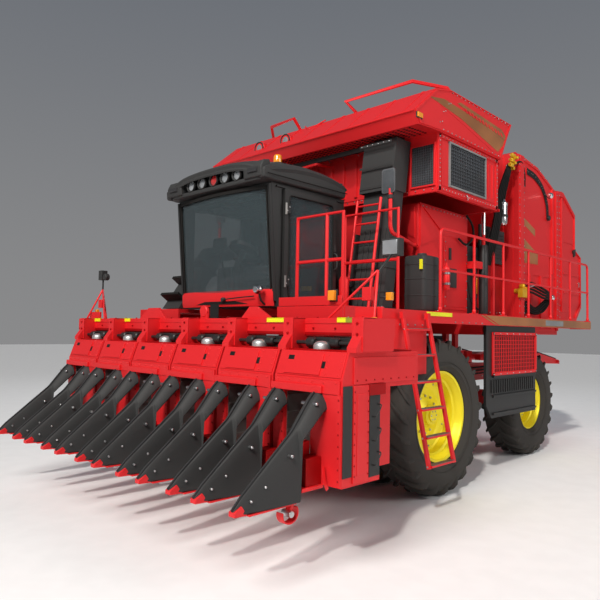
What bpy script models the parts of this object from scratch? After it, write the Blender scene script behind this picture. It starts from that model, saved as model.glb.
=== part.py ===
"""Six-row self-propelled cotton picker with an on-board module builder.

Metres, +Z up, forward is -Y and +X is the machine's left. Every length is measured from the
front axle's middle at ground level, and one empty shifts the whole machine so that the origin
sits under the middle of its bounding box.
"""
import math

import bmesh
import bpy
from mathutils import Matrix, Vector

# ---- Driving dimensions -----------------------------------------------------------------------
AXLE_Y = -1.26             # where the front axle stands, seen from the box's middle
WHEELBASE = 3.37
TOUCH = 0.0003             # gap between pieces that touch
RUNNING = 0.006            # gap between pieces that move past each other

ROWS = 6
ROW_PITCH = 0.81
ROW_SHIFT = 0.08           # the units hang a little left of the middle
UNIT_RIGHT = -0.285        # unit walls, seen from the row's middle
UNIT_LEFT = 0.50
ROW_GAP = 0.16             # half the open row channel
UNIT_WALL = 0.03
UNIT_FRONT = -2.83
UNIT_REAR = -1.75
DRUM_REAR = -2.33          # rear of the picking drum's box, below the hood
UNIT_BOTTOM = 0.72
UNIT_TOP = 1.80
HOOD_BOTTOM = 1.50
SNOUT_OFFSET = 0.2335
SNOUT_TIP_Y = -3.73
SNOUT_HALF_REAR = 0.115
SNOUT_HALF_TIP = 0.028

BEAM_HALF = ROW_PITCH * ROWS / 2 + 0.247
BEAM_FRONT = -2.50
BEAM_REAR = -2.22
BEAM_LOW = 1.93
BEAM_HIGH = 2.09

TYRE_WIDTH = 0.52
FRONT_RADIUS = 0.955
FRONT_RIM = 0.54
FRONT_INNER_X = 0.81
FRONT_OUTER_X = 1.62
REAR_RADIUS = 0.86
REAR_RIM = 0.44
REAR_X = 1.27
KINGPIN_X = 0.92
TYRE_SEAT = 0.004          # gap between rim and tyre

RAIL_IN = 0.385            # inner face of the frame rails
RAIL_WIDTH = 0.10
FRAME_LOW = 1.15
FRAME_HIGH = 1.45
FRAME_FRONT = -0.62
FRAME_REAR = 4.74
LIFT_Y = -0.45             # header lift pivot
LIFT_Z = 1.35
ARM_IN = 0.22
ARM_WIDTH = 0.12

DECK_TOP = 2.231
DECK_THICK = 0.05
SKIRT_LOW = 2.09
DECK_HALF = 1.877
APRON = 0.03               # thickness of the mudguard plates
DECK_IN = 1.52             # inner edge of the side walkways
RAIL_HEIGHT = 1.05
RAIL_TUBE = 0.02

CAB_HALF = 0.88
CAB_REAR = -0.80
CAB_FRONT = -1.93
CAB_LEAN = 0.12            # how far the windscreen leans forward
CAB_LOW = 2.2315
CAB_HIGH = 3.62
CAB_WALL = 0.06
CAB_ROOF_TOP = 4.10
GLASS = 0.012

HOPPER_HALF = 1.84
HOPPER_FRONT = -0.18
HOPPER_REAR = 1.42
HOPPER_LOW = 3.71
HOPPER_HIGH = 4.44
HOPPER_TRAVEL = 0.40
SHEET = 0.05               # wall of the big sheet-metal boxes
HOUSING_HALF = 1.45
HOUSING_FRONT = 0.05
HOUSING_REAR = 1.28
HOUSING_HIGH = 3.66
MIRROR_Y = -0.81           # plane of the mirrors, ahead of the hopper

DOOR_FRONT = -1.84
DOOR_REAR = -1.01
DOOR_LOW = CAB_LOW + 0.08
DOOR_HIGH = CAB_HIGH - 0.08
DUCT_SLOPE = 0.15
DUCT_FRONT = -0.736
DUCT_DEPTH = 0.20
DUCT_IN = 0.98
DUCT_OUT = 1.44
DUCT_TOP = 3.90
ROD_X = 1.60
ROD_Y = HOPPER_REAR + 0.06

CHAMBER_HALF = 1.50
CHAMBER_FRONT = 2.65
CHAMBER_REAR = 4.4497
CHAMBER_LOW = 1.98
GATE_FRONT = 4.455
GATE_HINGE_Z = 4.66
HANDLER_Y = 4.84
HANDLER_Z = 1.50

PAINT = {
    "red": ((0.78, 0.01, 0.02), 0.30, 0.0),
    "black": ((0.012, 0.012, 0.013), 0.45, 0.0),
    "rubber": ((0.02, 0.019, 0.017), 0.85, 0.0),
    "yellow": ((0.95, 0.78, 0.02), 0.35, 0.0),
    "steel": ((0.42, 0.42, 0.42), 0.35, 0.9),
    "glass": ((0.04, 0.06, 0.07), 0.05, 0.0),
    "fabric": ((0.03, 0.03, 0.035), 0.9, 0.0),
}

PARTS = "cotton_picker_machine"
CUTTERS = "cutters"


# ---- Shape makers -----------------------------------------------------------------------------
def new_collection(name):
    made = bpy.data.collections.new(name)
    bpy.context.scene.collection.children.link(made)
    return made


def from_bmesh(shape):
    """Turn a bmesh into a loose object in the cutters collection."""
    bmesh.ops.recalc_face_normals(shape, faces=shape.faces)
    mesh = bpy.data.meshes.new("shape")
    shape.to_mesh(mesh)
    shape.free()
    made = bpy.data.objects.new("shape", mesh)
    bpy.data.collections[CUTTERS].objects.link(made)
    return made


def bake(source):
    """Replace an object by the plain mesh that it evaluates to, with its caps welded."""
    graph = bpy.context.evaluated_depsgraph_get()
    mesh = bpy.data.meshes.new_from_object(source.evaluated_get(graph))
    shape = bmesh.new()
    shape.from_mesh(mesh)
    shape.transform(source.matrix_world)
    bmesh.ops.remove_doubles(shape, verts=shape.verts, dist=0.00001)
    bpy.data.objects.remove(source)
    return from_bmesh(shape)


def box(low, high):
    """A box between two opposite corners."""
    low = Vector(low)
    high = Vector(high)
    size = high - low
    shape = bmesh.new()
    place = Matrix.Translation((low + high) / 2) @ Matrix.Diagonal((*size, 1.0))
    bmesh.ops.create_cube(shape, size=1.0, matrix=place)
    return from_bmesh(shape)


def both_sides(low, high):
    """A box and its mirror image across the machine's middle."""
    mirrored_low = (-high[0], low[1], low[2])
    mirrored_high = (-low[0], high[1], high[2])
    return [box(low, high), box(mirrored_low, mirrored_high)]


PLANES = {
    "X": Matrix(((0, 0, 1), (1, 0, 0), (0, 1, 0))),      # outline in (y, z)
    "Y": Matrix(((1, 0, 0), (0, 0, -1), (0, 1, 0))),     # outline in (x, z)
    "Z": Matrix.Identity(3),                             # outline in (x, y)
}


def plate(outline, axis, near, far):
    """A flat outline extruded along an axis, from near to far."""
    curve = bpy.data.curves.new("outline", "CURVE")
    curve.dimensions = "2D"
    curve.fill_mode = "BOTH"
    curve.extrude = abs(far - near) / 2
    spline = curve.splines.new("POLY")
    spline.points.add(len(outline) - 1)
    for point, (across, up) in zip(spline.points, outline):
        point.co = (across, up, 0, 1)
    spline.use_cyclic_u = True
    made = bpy.data.objects.new("outline", curve)
    bpy.data.collections[CUTTERS].objects.link(made)
    turn = PLANES[axis].to_4x4()
    middle = {"X": Vector((1, 0, 0)), "Y": Vector((0, 1, 0)), "Z": Vector((0, 0, 1))}[axis]
    made.matrix_world = Matrix.Translation(middle * (near + far) / 2) @ turn
    bpy.context.view_layer.update()
    return bake(made)


def side_plate(outline, side, near, far):
    """A plate across X on the left (side 1) or right (side -1) of the machine."""
    return plate(outline, "X", min(side * near, side * far), max(side * near, side * far))


def rod(start, end, radius, sides=8):
    """A round bar between two points."""
    start = Vector(start)
    end = Vector(end)
    along = end - start
    shape = bmesh.new()
    place = Matrix.Translation((start + end) / 2) @ along.to_track_quat("Z", "Y").to_matrix().to_4x4()
    bmesh.ops.create_cone(
        shape, cap_ends=True, segments=sides, radius1=radius, radius2=radius,
        depth=along.length, matrix=place)
    return from_bmesh(shape)


def tube(points, radius, sides=2):
    """A bent tube through the points, with closed ends."""
    curve = bpy.data.curves.new("route", "CURVE")
    curve.dimensions = "3D"
    curve.bevel_depth = radius
    curve.bevel_resolution = sides
    curve.use_fill_caps = True
    spline = curve.splines.new("POLY")
    spline.points.add(len(points) - 1)
    for point, place in zip(spline.points, points):
        point.co = (*place, 1)
    made = bpy.data.objects.new("route", curve)
    bpy.data.collections[CUTTERS].objects.link(made)
    bpy.context.view_layer.update()
    return bake(made)


def turned(profile, steps, centre, side=1):
    """Spin a closed (radius, along) outline about the X direction through centre."""
    shape = bmesh.new()
    corners = [shape.verts.new((radius, 0, along)) for radius, along in profile]
    for first, second in zip(corners, corners[1:] + corners[:1]):
        if first.co.x > 0.0001 or second.co.x > 0.0001:
            shape.edges.new((first, second))
    mesh = bpy.data.meshes.new("profile")
    shape.to_mesh(mesh)
    shape.free()
    made = bpy.data.objects.new("profile", mesh)
    bpy.data.collections[CUTTERS].objects.link(made)
    spin = made.modifiers.new("spin", "SCREW")
    spin.steps = steps
    spin.render_steps = steps
    spin.use_merge_vertices = True
    spin.merge_threshold = 0.0001
    half_turn = Matrix.Rotation(0 if side > 0 else math.pi, 4, "Z")
    made.matrix_world = Matrix.Translation(centre) @ half_turn @ Matrix.Rotation(math.pi / 2, 4, "Y")
    bpy.context.view_layer.update()
    return bake(made)


def combine(base, others, operation):
    """Join or cut a piece by several others with one exact Boolean."""
    if not others:
        return base
    group = new_collection("operands")
    for other in others:
        group.objects.link(other)
    change = base.modifiers.new("combine", "BOOLEAN")
    change.operation = operation
    change.operand_type = "COLLECTION"
    change.solver = "EXACT"
    change.collection = group
    bpy.context.view_layer.update()
    made = bake(base)
    for other in others:
        bpy.data.objects.remove(other)
    bpy.data.collections.remove(group)
    return made


def solid(pieces, cuts=()):
    """One closed body: the pieces joined, then the cuts taken out."""
    made = combine(pieces[0], list(pieces[1:]), "UNION")
    return combine(made, list(cuts), "DIFFERENCE")


def place(name, shape, paint, joint=None, smooth=False):
    """Name a finished piece, give it its own material and hang it on its joint's empty."""
    shape.name = name
    shape.data.name = name
    colour, roughness, metallic = PAINT[paint]
    material = bpy.data.materials.new(name)
    material.use_nodes = True
    shader = material.node_tree.nodes["Principled BSDF"]
    shader.inputs["Base Color"].default_value = (*colour, 1)
    shader.inputs["Roughness"].default_value = roughness
    shader.inputs["Metallic"].default_value = metallic
    shape.data.materials.append(material)
    if smooth:
        shape.data.shade_smooth()
        shape.data.set_sharp_from_angle(angle=math.radians(35))
    bpy.data.collections[CUTTERS].objects.unlink(shape)
    bpy.data.collections[PARTS].objects.link(shape)
    parent = bpy.data.objects[joint or "machine"]
    shape.parent = parent
    shape.location = -Vector(parent.get("at", (0, 0, 0)))
    return shape


def joint_empty(name, at, parent="machine"):
    """An empty on a joint's axis, placed by its distance from its parent's."""
    made = bpy.data.objects.new(name, None)
    bpy.data.collections[PARTS].objects.link(made)
    made["at"] = at
    if parent is not None:
        made.parent = bpy.data.objects[parent]
        made.location = Vector(at) - Vector(made.parent.get("at", (0, 0, 0)))
    return made


def tapered(shape, rear_y, tip_y, middle_x, rear_half, tip_half):
    """Narrow a plate evenly towards its tip."""
    for vertex in shape.data.vertices:
        share = (vertex.co.y - rear_y) / (tip_y - rear_y)
        half = rear_half + (tip_half - rear_half) * share
        side = 1 if vertex.co.x > middle_x else -1
        vertex.co.x = middle_x + side * half
    return shape


# ---- Header -----------------------------------------------------------------------------------
def row_x(index):
    return (index - (ROWS - 1) / 2) * ROW_PITCH + ROW_SHIFT


def unit_cabinet(index):
    """An open-bottomed casing that straddles one row."""
    row = row_x(index)
    side = [
        (UNIT_REAR, UNIT_BOTTOM), (UNIT_REAR, UNIT_TOP), (UNIT_FRONT + 0.08, UNIT_TOP),
        (UNIT_FRONT, UNIT_TOP - 0.22), (UNIT_FRONT, UNIT_BOTTOM),
    ]
    body = plate(side, "X", row + UNIT_RIGHT, row + UNIT_LEFT)
    front = UNIT_FRONT + 0.08 + UNIT_WALL
    rear = UNIT_REAR - UNIT_WALL
    drum_side = row + ROW_GAP + UNIT_WALL
    channel = box((row - ROW_GAP, UNIT_FRONT - 1, 0), (row + ROW_GAP, UNIT_REAR + 1, HOOD_BOTTOM))
    behind = box((drum_side, DRUM_REAR, 0), (row + UNIT_LEFT + 1, UNIT_REAR + 1, HOOD_BOTTOM))
    drum_space = box((drum_side, front, 0), (row + UNIT_LEFT - UNIT_WALL, DRUM_REAR - UNIT_WALL, HOOD_BOTTOM + 0.1))
    hood_space = box(
        (row + UNIT_RIGHT + UNIT_WALL, front, HOOD_BOTTOM + UNIT_WALL),
        (row + UNIT_LEFT - UNIT_WALL, rear, UNIT_TOP - UNIT_WALL))
    cuts = [channel, behind, drum_space, hood_space]
    place(f"unit_cabinet_{index + 1}", solid([body], cuts), "red", "header_lift")


def unit_dividers(index):
    """The two crop dividers in front of a unit, joined by the strap under its hood."""
    row = row_x(index)
    rear = UNIT_FRONT - TOUCH
    side = [
        (rear, HOOD_BOTTOM - 0.02), (rear - 0.04, HOOD_BOTTOM - 0.03), (-3.08, 1.14),
        (SNOUT_TIP_Y, 0.66), (SNOUT_TIP_Y, 0.625), (-3.02, 0.62), (rear, UNIT_BOTTOM),
    ]
    snouts = []
    for offset in (-SNOUT_OFFSET, SNOUT_OFFSET):
        middle = row + offset
        snout = plate(side, "X", middle - SNOUT_HALF_REAR, middle + SNOUT_HALF_REAR)
        snouts.append(tapered(snout, rear, SNOUT_TIP_Y, middle, SNOUT_HALF_REAR, SNOUT_HALF_TIP))
    strap = box(
        (row - SNOUT_OFFSET, rear - 0.035, HOOD_BOTTOM - 0.04),
        (row + SNOUT_OFFSET, rear, HOOD_BOTTOM + 0.03))
    place(f"unit_dividers_{index + 1}", solid([strap] + snouts), "black", "header_lift")


def header_beam():
    """The cross beam and the hangers that carry the units."""
    beam = box((-BEAM_HALF, BEAM_FRONT, BEAM_LOW), (BEAM_HALF, BEAM_REAR, BEAM_HIGH))
    low = UNIT_TOP + TOUCH
    side = [
        (BEAM_REAR - 0.02, low), (BEAM_REAR - 0.02, BEAM_LOW + 0.02), (BEAM_FRONT + 0.02, BEAM_HIGH - 0.02),
        (BEAM_FRONT - 0.12, BEAM_HIGH - 0.09), (UNIT_FRONT + 0.09, low + 0.04), (UNIT_FRONT + 0.09, low),
    ]
    hangers = []
    for index in range(ROWS + 1):
        middle = row_x(index) + (UNIT_RIGHT + UNIT_LEFT - ROW_PITCH) / 2
        hangers.append(plate(side, "X", middle - 0.05, middle + 0.05))
    place("header_beam", solid([beam] + hangers), "red", "header_lift")


def header_lift_arms():
    """Two arms on one cross tube, which swing the header up and down."""
    end = BEAM_REAR + TOUCH
    side = [
        (LIFT_Y + 0.09, LIFT_Z - 0.07), (LIFT_Y, LIFT_Z - 0.10), (-1.78, 1.845), (end, BEAM_LOW + 0.005),
        (end, BEAM_HIGH - 0.005), (-1.83, 2.0), (LIFT_Y - 0.05, LIFT_Z + 0.10),
        (LIFT_Y + 0.09, LIFT_Z + 0.06),
    ]
    arms = [
        plate(side, "X", ARM_IN, ARM_IN + ARM_WIDTH),
        plate(side, "X", -ARM_IN - ARM_WIDTH, -ARM_IN),
    ]
    reach = RAIL_IN - RUNNING
    cross = rod((-reach, LIFT_Y, LIFT_Z), (reach, LIFT_Y, LIFT_Z), 0.055, 12)
    brace = rod((-ARM_IN - 0.03, -1.5, 1.80), (ARM_IN + 0.03, -1.5, 1.80), 0.04, 8)
    place("header_lift_arms", solid([cross, brace] + arms), "red", "header_lift")


# ---- Wheels and axles -------------------------------------------------------------------------
def tyre(name, centre, radius, rim, joint):
    half = TYRE_WIDTH / 2
    seat = rim + TYRE_SEAT
    profile = [
        (seat, -half * 0.82), (seat + 0.10, -half * 0.97), (radius - 0.13, -half),
        (radius - 0.03, -half * 0.92),
        (radius, -half * 0.55), (radius, half * 0.55), (radius - 0.03, half * 0.92), (radius - 0.13, half),
        (seat + 0.10, half * 0.97), (seat, half * 0.82),
    ]
    place(name, turned(profile, 28, centre), "rubber", joint, smooth=True)


def front_wheel(side_name, side):
    """Hub and both rims of one front side, turning as one."""
    joint = f"front_{side_name}_spin"
    joint_empty(joint, (side * FRONT_OUTER_X, 0, FRONT_RADIUS))
    wall = 0.03
    hub = 0.19
    inner = FRONT_INNER_X
    outer = FRONT_OUTER_X
    reach = TYRE_WIDTH * 0.36
    profile = [
        (0, inner - 0.27), (hub, inner - 0.27), (hub, inner - 0.02), (FRONT_RIM - wall, inner - 0.02),
        (FRONT_RIM - wall, inner - reach), (FRONT_RIM, inner - reach), (FRONT_RIM, inner + reach),
        (FRONT_RIM - wall, inner + reach), (FRONT_RIM - wall, inner + 0.02), (hub, inner + 0.02),
        (hub, outer - 0.12), (FRONT_RIM - wall, outer - 0.10), (FRONT_RIM - wall, outer - reach),
        (FRONT_RIM, outer - reach), (FRONT_RIM, outer + reach), (FRONT_RIM - wall, outer + reach),
        (FRONT_RIM - wall, outer - 0.06), (hub, outer - 0.08), (hub * 0.8, outer + 0.03), (0, outer + 0.03),
    ]
    wheel = turned(profile, 24, (0, 0, FRONT_RADIUS), side)
    place(f"front_{side_name}_wheel", wheel, "yellow", joint, smooth=True)
    for name, middle in (("inner", inner), ("outer", outer)):
        tyre(f"front_{side_name}_{name}_tyre", (side * middle, 0, FRONT_RADIUS), FRONT_RADIUS, FRONT_RIM, joint)


def rear_wheel(side_name, side):
    """A steered wheel on its knuckle."""
    steer = f"rear_{side_name}_steer"
    spin = f"rear_{side_name}_spin"
    joint_empty(steer, (side * KINGPIN_X, WHEELBASE, REAR_RADIUS))
    joint_empty(spin, (side * REAR_X, WHEELBASE, REAR_RADIUS), steer)
    wall = 0.03
    hub = 0.15
    reach = TYRE_WIDTH * 0.36
    profile = [
        (0, REAR_X - 0.13), (hub, REAR_X - 0.13), (hub, REAR_X - 0.08), (REAR_RIM - wall, REAR_X - 0.08),
        (REAR_RIM - wall, REAR_X - reach), (REAR_RIM, REAR_X - reach), (REAR_RIM, REAR_X + reach),
        (REAR_RIM - wall, REAR_X + reach), (REAR_RIM - wall, REAR_X - 0.04), (hub, REAR_X - 0.04),
        (hub * 0.8, REAR_X + 0.05), (0, REAR_X + 0.05),
    ]
    wheel = turned(profile, 24, (0, WHEELBASE, REAR_RADIUS), side)
    place(f"rear_{side_name}_wheel", wheel, "yellow", spin, smooth=True)
    tyre(f"rear_{side_name}_tyre", (side * REAR_X, WHEELBASE, REAR_RADIUS), REAR_RADIUS, REAR_RIM, spin)
    block_in = side * (KINGPIN_X - 0.08)
    block_out = side * (KINGPIN_X + 0.08)
    block = box(
        (min(block_in, block_out), WHEELBASE - 0.09, REAR_RADIUS - 0.18),
        (max(block_in, block_out), WHEELBASE + 0.09, REAR_RADIUS + 0.18))
    spindle = rod(
        (side * KINGPIN_X, WHEELBASE, REAR_RADIUS),
        (side * (REAR_X - 0.13 - RUNNING), WHEELBASE, REAR_RADIUS), 0.07, 12)
    place(f"rear_{side_name}_knuckle", solid([block, spindle]), "black", steer)


def axles():
    beam = FRONT_INNER_X - 0.27 - RUNNING
    front = [
        box((-RAIL_IN - RAIL_WIDTH, -0.16, FRONT_RADIUS - 0.14),
        (RAIL_IN + RAIL_WIDTH, 0.16, FRAME_LOW - TOUCH)),
        rod((-beam, 0, FRONT_RADIUS), (beam, 0, FRONT_RADIUS), 0.13, 12),
    ]
    place("front_axle", solid(front), "black")
    fork = KINGPIN_X - 0.08 - RUNNING - 0.004
    low = REAR_RADIUS - 0.13
    rear = [
        box((-fork + 0.14, WHEELBASE - 0.10, low), (fork - 0.14, WHEELBASE + 0.10, REAR_RADIUS + 0.13)),
        box((-0.30, WHEELBASE - 0.16, REAR_RADIUS), (0.30, WHEELBASE + 0.16, FRAME_LOW - TOUCH)),
    ]
    rear += both_sides((fork - 0.16, WHEELBASE - 0.06, low), (fork - 0.03, WHEELBASE + 0.06, REAR_RADIUS + 0.11))
    place("rear_axle", solid(rear), "red")


# ---- Frame ------------------------------------------------------------------------------------
def main_frame():
    """Two rails, their cross members, and the outriggers that carry decks, cab and chamber."""
    rail_out = RAIL_IN + RAIL_WIDTH
    deck_seat = DECK_TOP - DECK_THICK - TOUCH
    pieces = both_sides((RAIL_IN, FRAME_FRONT, FRAME_LOW), (rail_out, FRAME_REAR, FRAME_HIGH))
    for y in (0.62, 2.2, 4.3):
        pieces.append(box((-RAIL_IN - 0.02, y, FRAME_LOW + 0.04), (RAIL_IN + 0.02, y + 0.12, FRAME_HIGH - 0.04)))
    for y in (-0.60, 1.12, 2.36):
        pieces += both_sides((RAIL_IN + 0.01, y + 0.01, FRAME_HIGH - 0.05), (rail_out - 0.01, y + 0.11, 2.05))
        pieces.append(box((-DECK_HALF + 0.10, y, 1.96), (DECK_HALF - 0.10, y + 0.12, deck_seat)))
    pieces += both_sides((RAIL_IN + 0.01, 4.2, FRAME_HIGH - 0.05), (rail_out - 0.01, 4.32, CHAMBER_LOW - TOUCH))
    pieces += both_sides((RAIL_IN + 0.01, -1.86, 2.14), (rail_out - 0.01, -0.55, CAB_LOW - TOUCH))
    pieces += both_sides((RAIL_IN + 0.02, HANDLER_Y - 0.16, 1.38), (rail_out - 0.02, HANDLER_Y + 0.06, 1.62))
    place("main_frame", solid(pieces), "red")


def engine_block():
    place("engine_block", box((-0.45, 1.30, FRAME_HIGH + TOUCH), (0.45, 2.30, 1.93)), "black")


# ---- Decks and ladders ------------------------------------------------------------------------
def deck(side_name, side, rear_end):
    """A walkway down one side, wider beside the cab, with a folded skirt round it."""
    front_in = CAB_HALF + 0.06
    outline = [
        (front_in, -1.98), (DECK_HALF, -1.98), (DECK_HALF, rear_end), (DECK_IN, rear_end),
        (DECK_IN, -0.02), (front_in, -0.02),
    ]
    mirrored = [(side * x, y) for x, y in outline]
    body = plate(mirrored, "Z", SKIRT_LOW, DECK_TOP)
    low = DECK_TOP - DECK_THICK
    edge = 0.03
    pockets = [
        ((front_in - 1, -1.98 + edge, 1), (DECK_HALF - edge, -0.02 - edge, low)),
        ((DECK_IN - 1, -0.3, 1), (DECK_HALF - edge, rear_end - edge, low)),
    ]
    cuts = []
    for near, far in pockets:
        x_low = min(side * near[0], side * far[0])
        x_high = max(side * near[0], side * far[0])
        cuts.append(box((x_low, near[1], near[2]), (x_high, far[1], far[2])))
    apron = [(-1.60, 2.12), (-0.50, 2.12), (-0.50, 1.50), (-0.75, 1.50), (-1.60, 1.90)]
    pieces = [solid([body], cuts), side_plate(apron, side, DECK_HALF + 0.010, DECK_HALF + APRON)]
    strip = [(-1.55, SKIRT_LOW + 0.005), (-0.55, SKIRT_LOW + 0.005), (-0.55, 2.115), (-1.55, 2.115)]
    pieces.append(side_plate(strip, side, DECK_HALF - 0.02, DECK_HALF + APRON - 0.005))
    if side > 0:
        pieces += platform_rails()
    place(f"deck_{side_name}", solid(pieces), "red")


def handrail(side_name, side, rear_end):
    """Posts and two rails along the outer edge of a deck."""
    base = DECK_TOP + TOUCH
    top = base + RAIL_HEIGHT
    middle = base + RAIL_HEIGHT / 2
    x = side * (DECK_HALF - 0.035)
    bays = 6
    posts = [-0.10 + (rear_end + 0.05) * index / bays for index in range(bays + 1)]
    front = posts[0]
    rear = posts[-1]
    pieces = [tube([(x, front, base), (x, front, top), (x, rear, top), (x, rear, base)], RAIL_TUBE, 1)]
    for y in posts[1:-1]:
        pieces.append(rod((x, y, base), (x, y, top), RAIL_TUBE * 0.95, 6))
    pieces.append(rod((x, front, middle), (x, rear, middle), RAIL_TUBE * 0.9, 6))
    place(f"handrail_{side_name}", solid(pieces), "red")


def platform_rails():
    """The guard rails round the platform in front of the cab door."""
    base = DECK_TOP - 0.01
    rails = []
    for y, near, far, height in ((-1.94, 1.20, 1.84, 0.96), (-0.93, 1.02, 1.80, 1.16)):
        top = base + height
        middle = base + height / 2
        rails.append(tube([(near, y, base), (near, y, top), (far, y, top), (far, y, base)], RAIL_TUBE, 1))
        rails.append(rod((near, y, middle), (far, y, middle), RAIL_TUBE * 0.9, 6))
    rails.append(rod((1.62, -1.94, base), (1.62, -1.94, base + 0.96), RAIL_TUBE * 0.95, 6))
    return rails


def ladder(name, foot_low, foot_high, rungs, rail_radius, lean_x=0.0):
    """Two round rails and their rungs. The feet share a y or an x, and rise to the high corner."""
    first = Vector(foot_low)
    last = Vector(foot_high)
    width = Vector((0, 0, 0))
    if lean_x:
        width.y = 0.50
    else:
        width.x = 0.36
    rails = [rod(first, last, rail_radius, 6), rod(first + width, last + width, rail_radius, 6)]
    for index in range(rungs):
        step = first.lerp(last, (index + 0.5) / rungs)
        rails.append(rod(step, step + width, rail_radius * 0.8, 6))
    return rails


def ladders():
    top = SKIRT_LOW + 0.08
    access = ladder("access_ladder", (2.28, -1.02, 0.55), (1.93, -1.02, top), 6, 0.022, lean_x=1)
    for y in (-1.02, -0.52):
        access.append(rod((DECK_HALF + APRON + TOUCH, y, top - 0.03), (1.96, y, top - 0.03), 0.024, 6))
    place("access_ladder", solid(access), "red")
    hopper = ladder("hopper_ladder", (0.98, -0.88, DECK_TOP + 0.004), (0.98, -0.645, 3.62), 6, 0.020)
    place("hopper_ladder", solid(hopper), "red")


def wheel_guards():
    """The louvred panels under the decks between the front and rear wheels."""
    for name, side in (("left", 1), ("right", -1)):
        low = min(side * 1.80, side * 1.84)
        high = max(side * 1.80, side * 1.84)
        outline = [(1.10, SKIRT_LOW + 0.06), (2.70, SKIRT_LOW + 0.06), (2.70, 0.82), (1.25, 0.82), (1.10, 1.0)]
        place(f"wheel_guard_{name}", plate(outline, "X", low, high), "black")


# ---- Cab --------------------------------------------------------------------------------------
def cab_outline(inset, low_inset, high_inset):
    low = CAB_LOW + low_inset
    high = CAB_HIGH - high_inset
    return [
        (CAB_FRONT + inset, low), (CAB_REAR - inset, low),
        (CAB_REAR - inset, high), (CAB_FRONT - CAB_LEAN + inset, high),
    ]


def cab():
    body = plate(cab_outline(0, 0, 0), "X", -CAB_HALF, CAB_HALF)
    room = plate(cab_outline(CAB_WALL, CAB_WALL, CAB_WALL), "X", -CAB_HALF + CAB_WALL, CAB_HALF - CAB_WALL)
    side_hole = box((-2, DOOR_FRONT, DOOR_LOW), (2, DOOR_REAR, DOOR_HIGH))
    front_hole = box((-CAB_HALF + 0.09, -3, CAB_LOW + 0.10), (CAB_HALF - 0.09, -1.5, CAB_HIGH - 0.10))
    rear_hole = box((-0.62, -1.2, CAB_LOW + 0.55), (0.62, 0, CAB_HIGH - 0.12))
    floor = CAB_LOW + CAB_WALL - 0.01
    column = tube([(0, -1.80, floor), (0, -1.78, floor + 0.46), (0, -1.66, floor + 0.73)], 0.045, 1)
    wheel = rod((0, -1.685, floor + 0.67), (0, -1.665, floor + 0.715), 0.19, 16)
    shell = solid([body], [room, side_hole, front_hole, rear_hole])
    place("cab_frame", solid([shell, column, wheel]), "black")

    lean = CAB_LEAN / (CAB_HIGH - CAB_LOW)
    low = CAB_LOW + 0.04
    high = CAB_HIGH - 0.04
    bulge = 0.10
    half = CAB_HALF - 0.05
    steps = 8
    outline = []
    for index in range(steps + 1):
        across = -1 + 2 * index / steps
        outline.append((across * half, CAB_FRONT - 0.013 - bulge * (1 - across * across)))
    inner = [(x, y + GLASS) for x, y in reversed(outline)]
    pane = plate(outline + inner, "Z", low, high)
    for vertex in pane.data.vertices:
        vertex.co.y -= (vertex.co.z - CAB_LOW) * lean
    place("windscreen", pane, "glass")
    gap = 0.004
    right = box(
        (-CAB_HALF + 0.01, DOOR_FRONT + gap, DOOR_LOW + gap), (-CAB_HALF + 0.03, DOOR_REAR - gap, DOOR_HIGH - gap))
    place("right_window", right, "glass")
    rear = box(
        (-0.62 + gap, CAB_REAR - 0.03, CAB_LOW + 0.55 + gap), (0.62 - gap, CAB_REAR - 0.01, CAB_HIGH - 0.12 - gap))
    place("rear_window", rear, "glass")

    joint_empty("cab_door_hinge", (CAB_HALF + 0.02, DOOR_FRONT - 0.02, (DOOR_LOW + DOOR_HIGH) / 2))
    near = CAB_HALF + 0.006
    far = CAB_HALF + 0.040
    lip = 0.03
    leaf = box((near, DOOR_FRONT - lip, DOOR_LOW - lip), (far, DOOR_REAR + lip, DOOR_HIGH + lip))
    frame = 0.07
    opening = box(
        (near - 1, DOOR_FRONT - lip + frame, DOOR_LOW - lip + frame),
        (far + 1, DOOR_REAR + lip - frame, DOOR_HIGH + lip - frame))
    place("cab_door", solid([leaf], [opening]), "black", "cab_door_hinge")
    glass = box(
        (near + 0.010, DOOR_FRONT - lip + frame + gap, DOOR_LOW - lip + frame + gap),
        (far - 0.010, DOOR_REAR + lip - frame - gap, DOOR_HIGH + lip - frame - gap))
    place("door_glass", glass, "glass", "cab_door_hinge")


def cab_roof():
    low = CAB_HIGH + TOUCH
    front = CAB_FRONT - CAB_LEAN - 0.20
    side = [
        (CAB_REAR - 0.02, low), (CAB_REAR - 0.02, CAB_ROOF_TOP - 0.10), (-1.0, CAB_ROOF_TOP - 0.02),
        (-1.6, CAB_ROOF_TOP), (front + 0.18, CAB_ROOF_TOP - 0.07), (front, low + 0.16), (front + 0.02, low),
    ]
    shell = plate(side, "X", -0.95, 0.95)
    room = box((-0.80, front + 0.25, low - 1), (0.80, CAB_REAR - 0.10, CAB_ROOF_TOP - 0.14))
    recess = box((-0.62, front - 1, low + 0.10), (0.62, front + 0.13, CAB_ROOF_TOP - 0.20))
    place("cab_roof", solid([shell], [room, recess]), "black")


def operator_place():
    floor = CAB_LOW + CAB_WALL + TOUCH
    pedestal = [box((-0.20, -1.42, floor), (0.20, -1.02, floor + 0.36))]
    pedestal.append(box((-0.24, -1.02, floor + 0.30), (0.24, -0.96, floor + 1.05)))
    pedestal.append(box((-0.24, -1.05, floor + 0.30), (0.24, -0.99, floor + 0.36)))
    place("seat_pedestal", solid(pedestal), "black")
    cushion = box((-0.25, -1.53, floor + 0.36 + TOUCH), (0.25, -1.06, floor + 0.48))
    place("seat_cushion", cushion, "fabric")
    back = box((-0.24, -1.12, floor + 0.49), (0.24, -1.02 - TOUCH, floor + 1.12))
    place("seat_back", back, "fabric")


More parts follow.
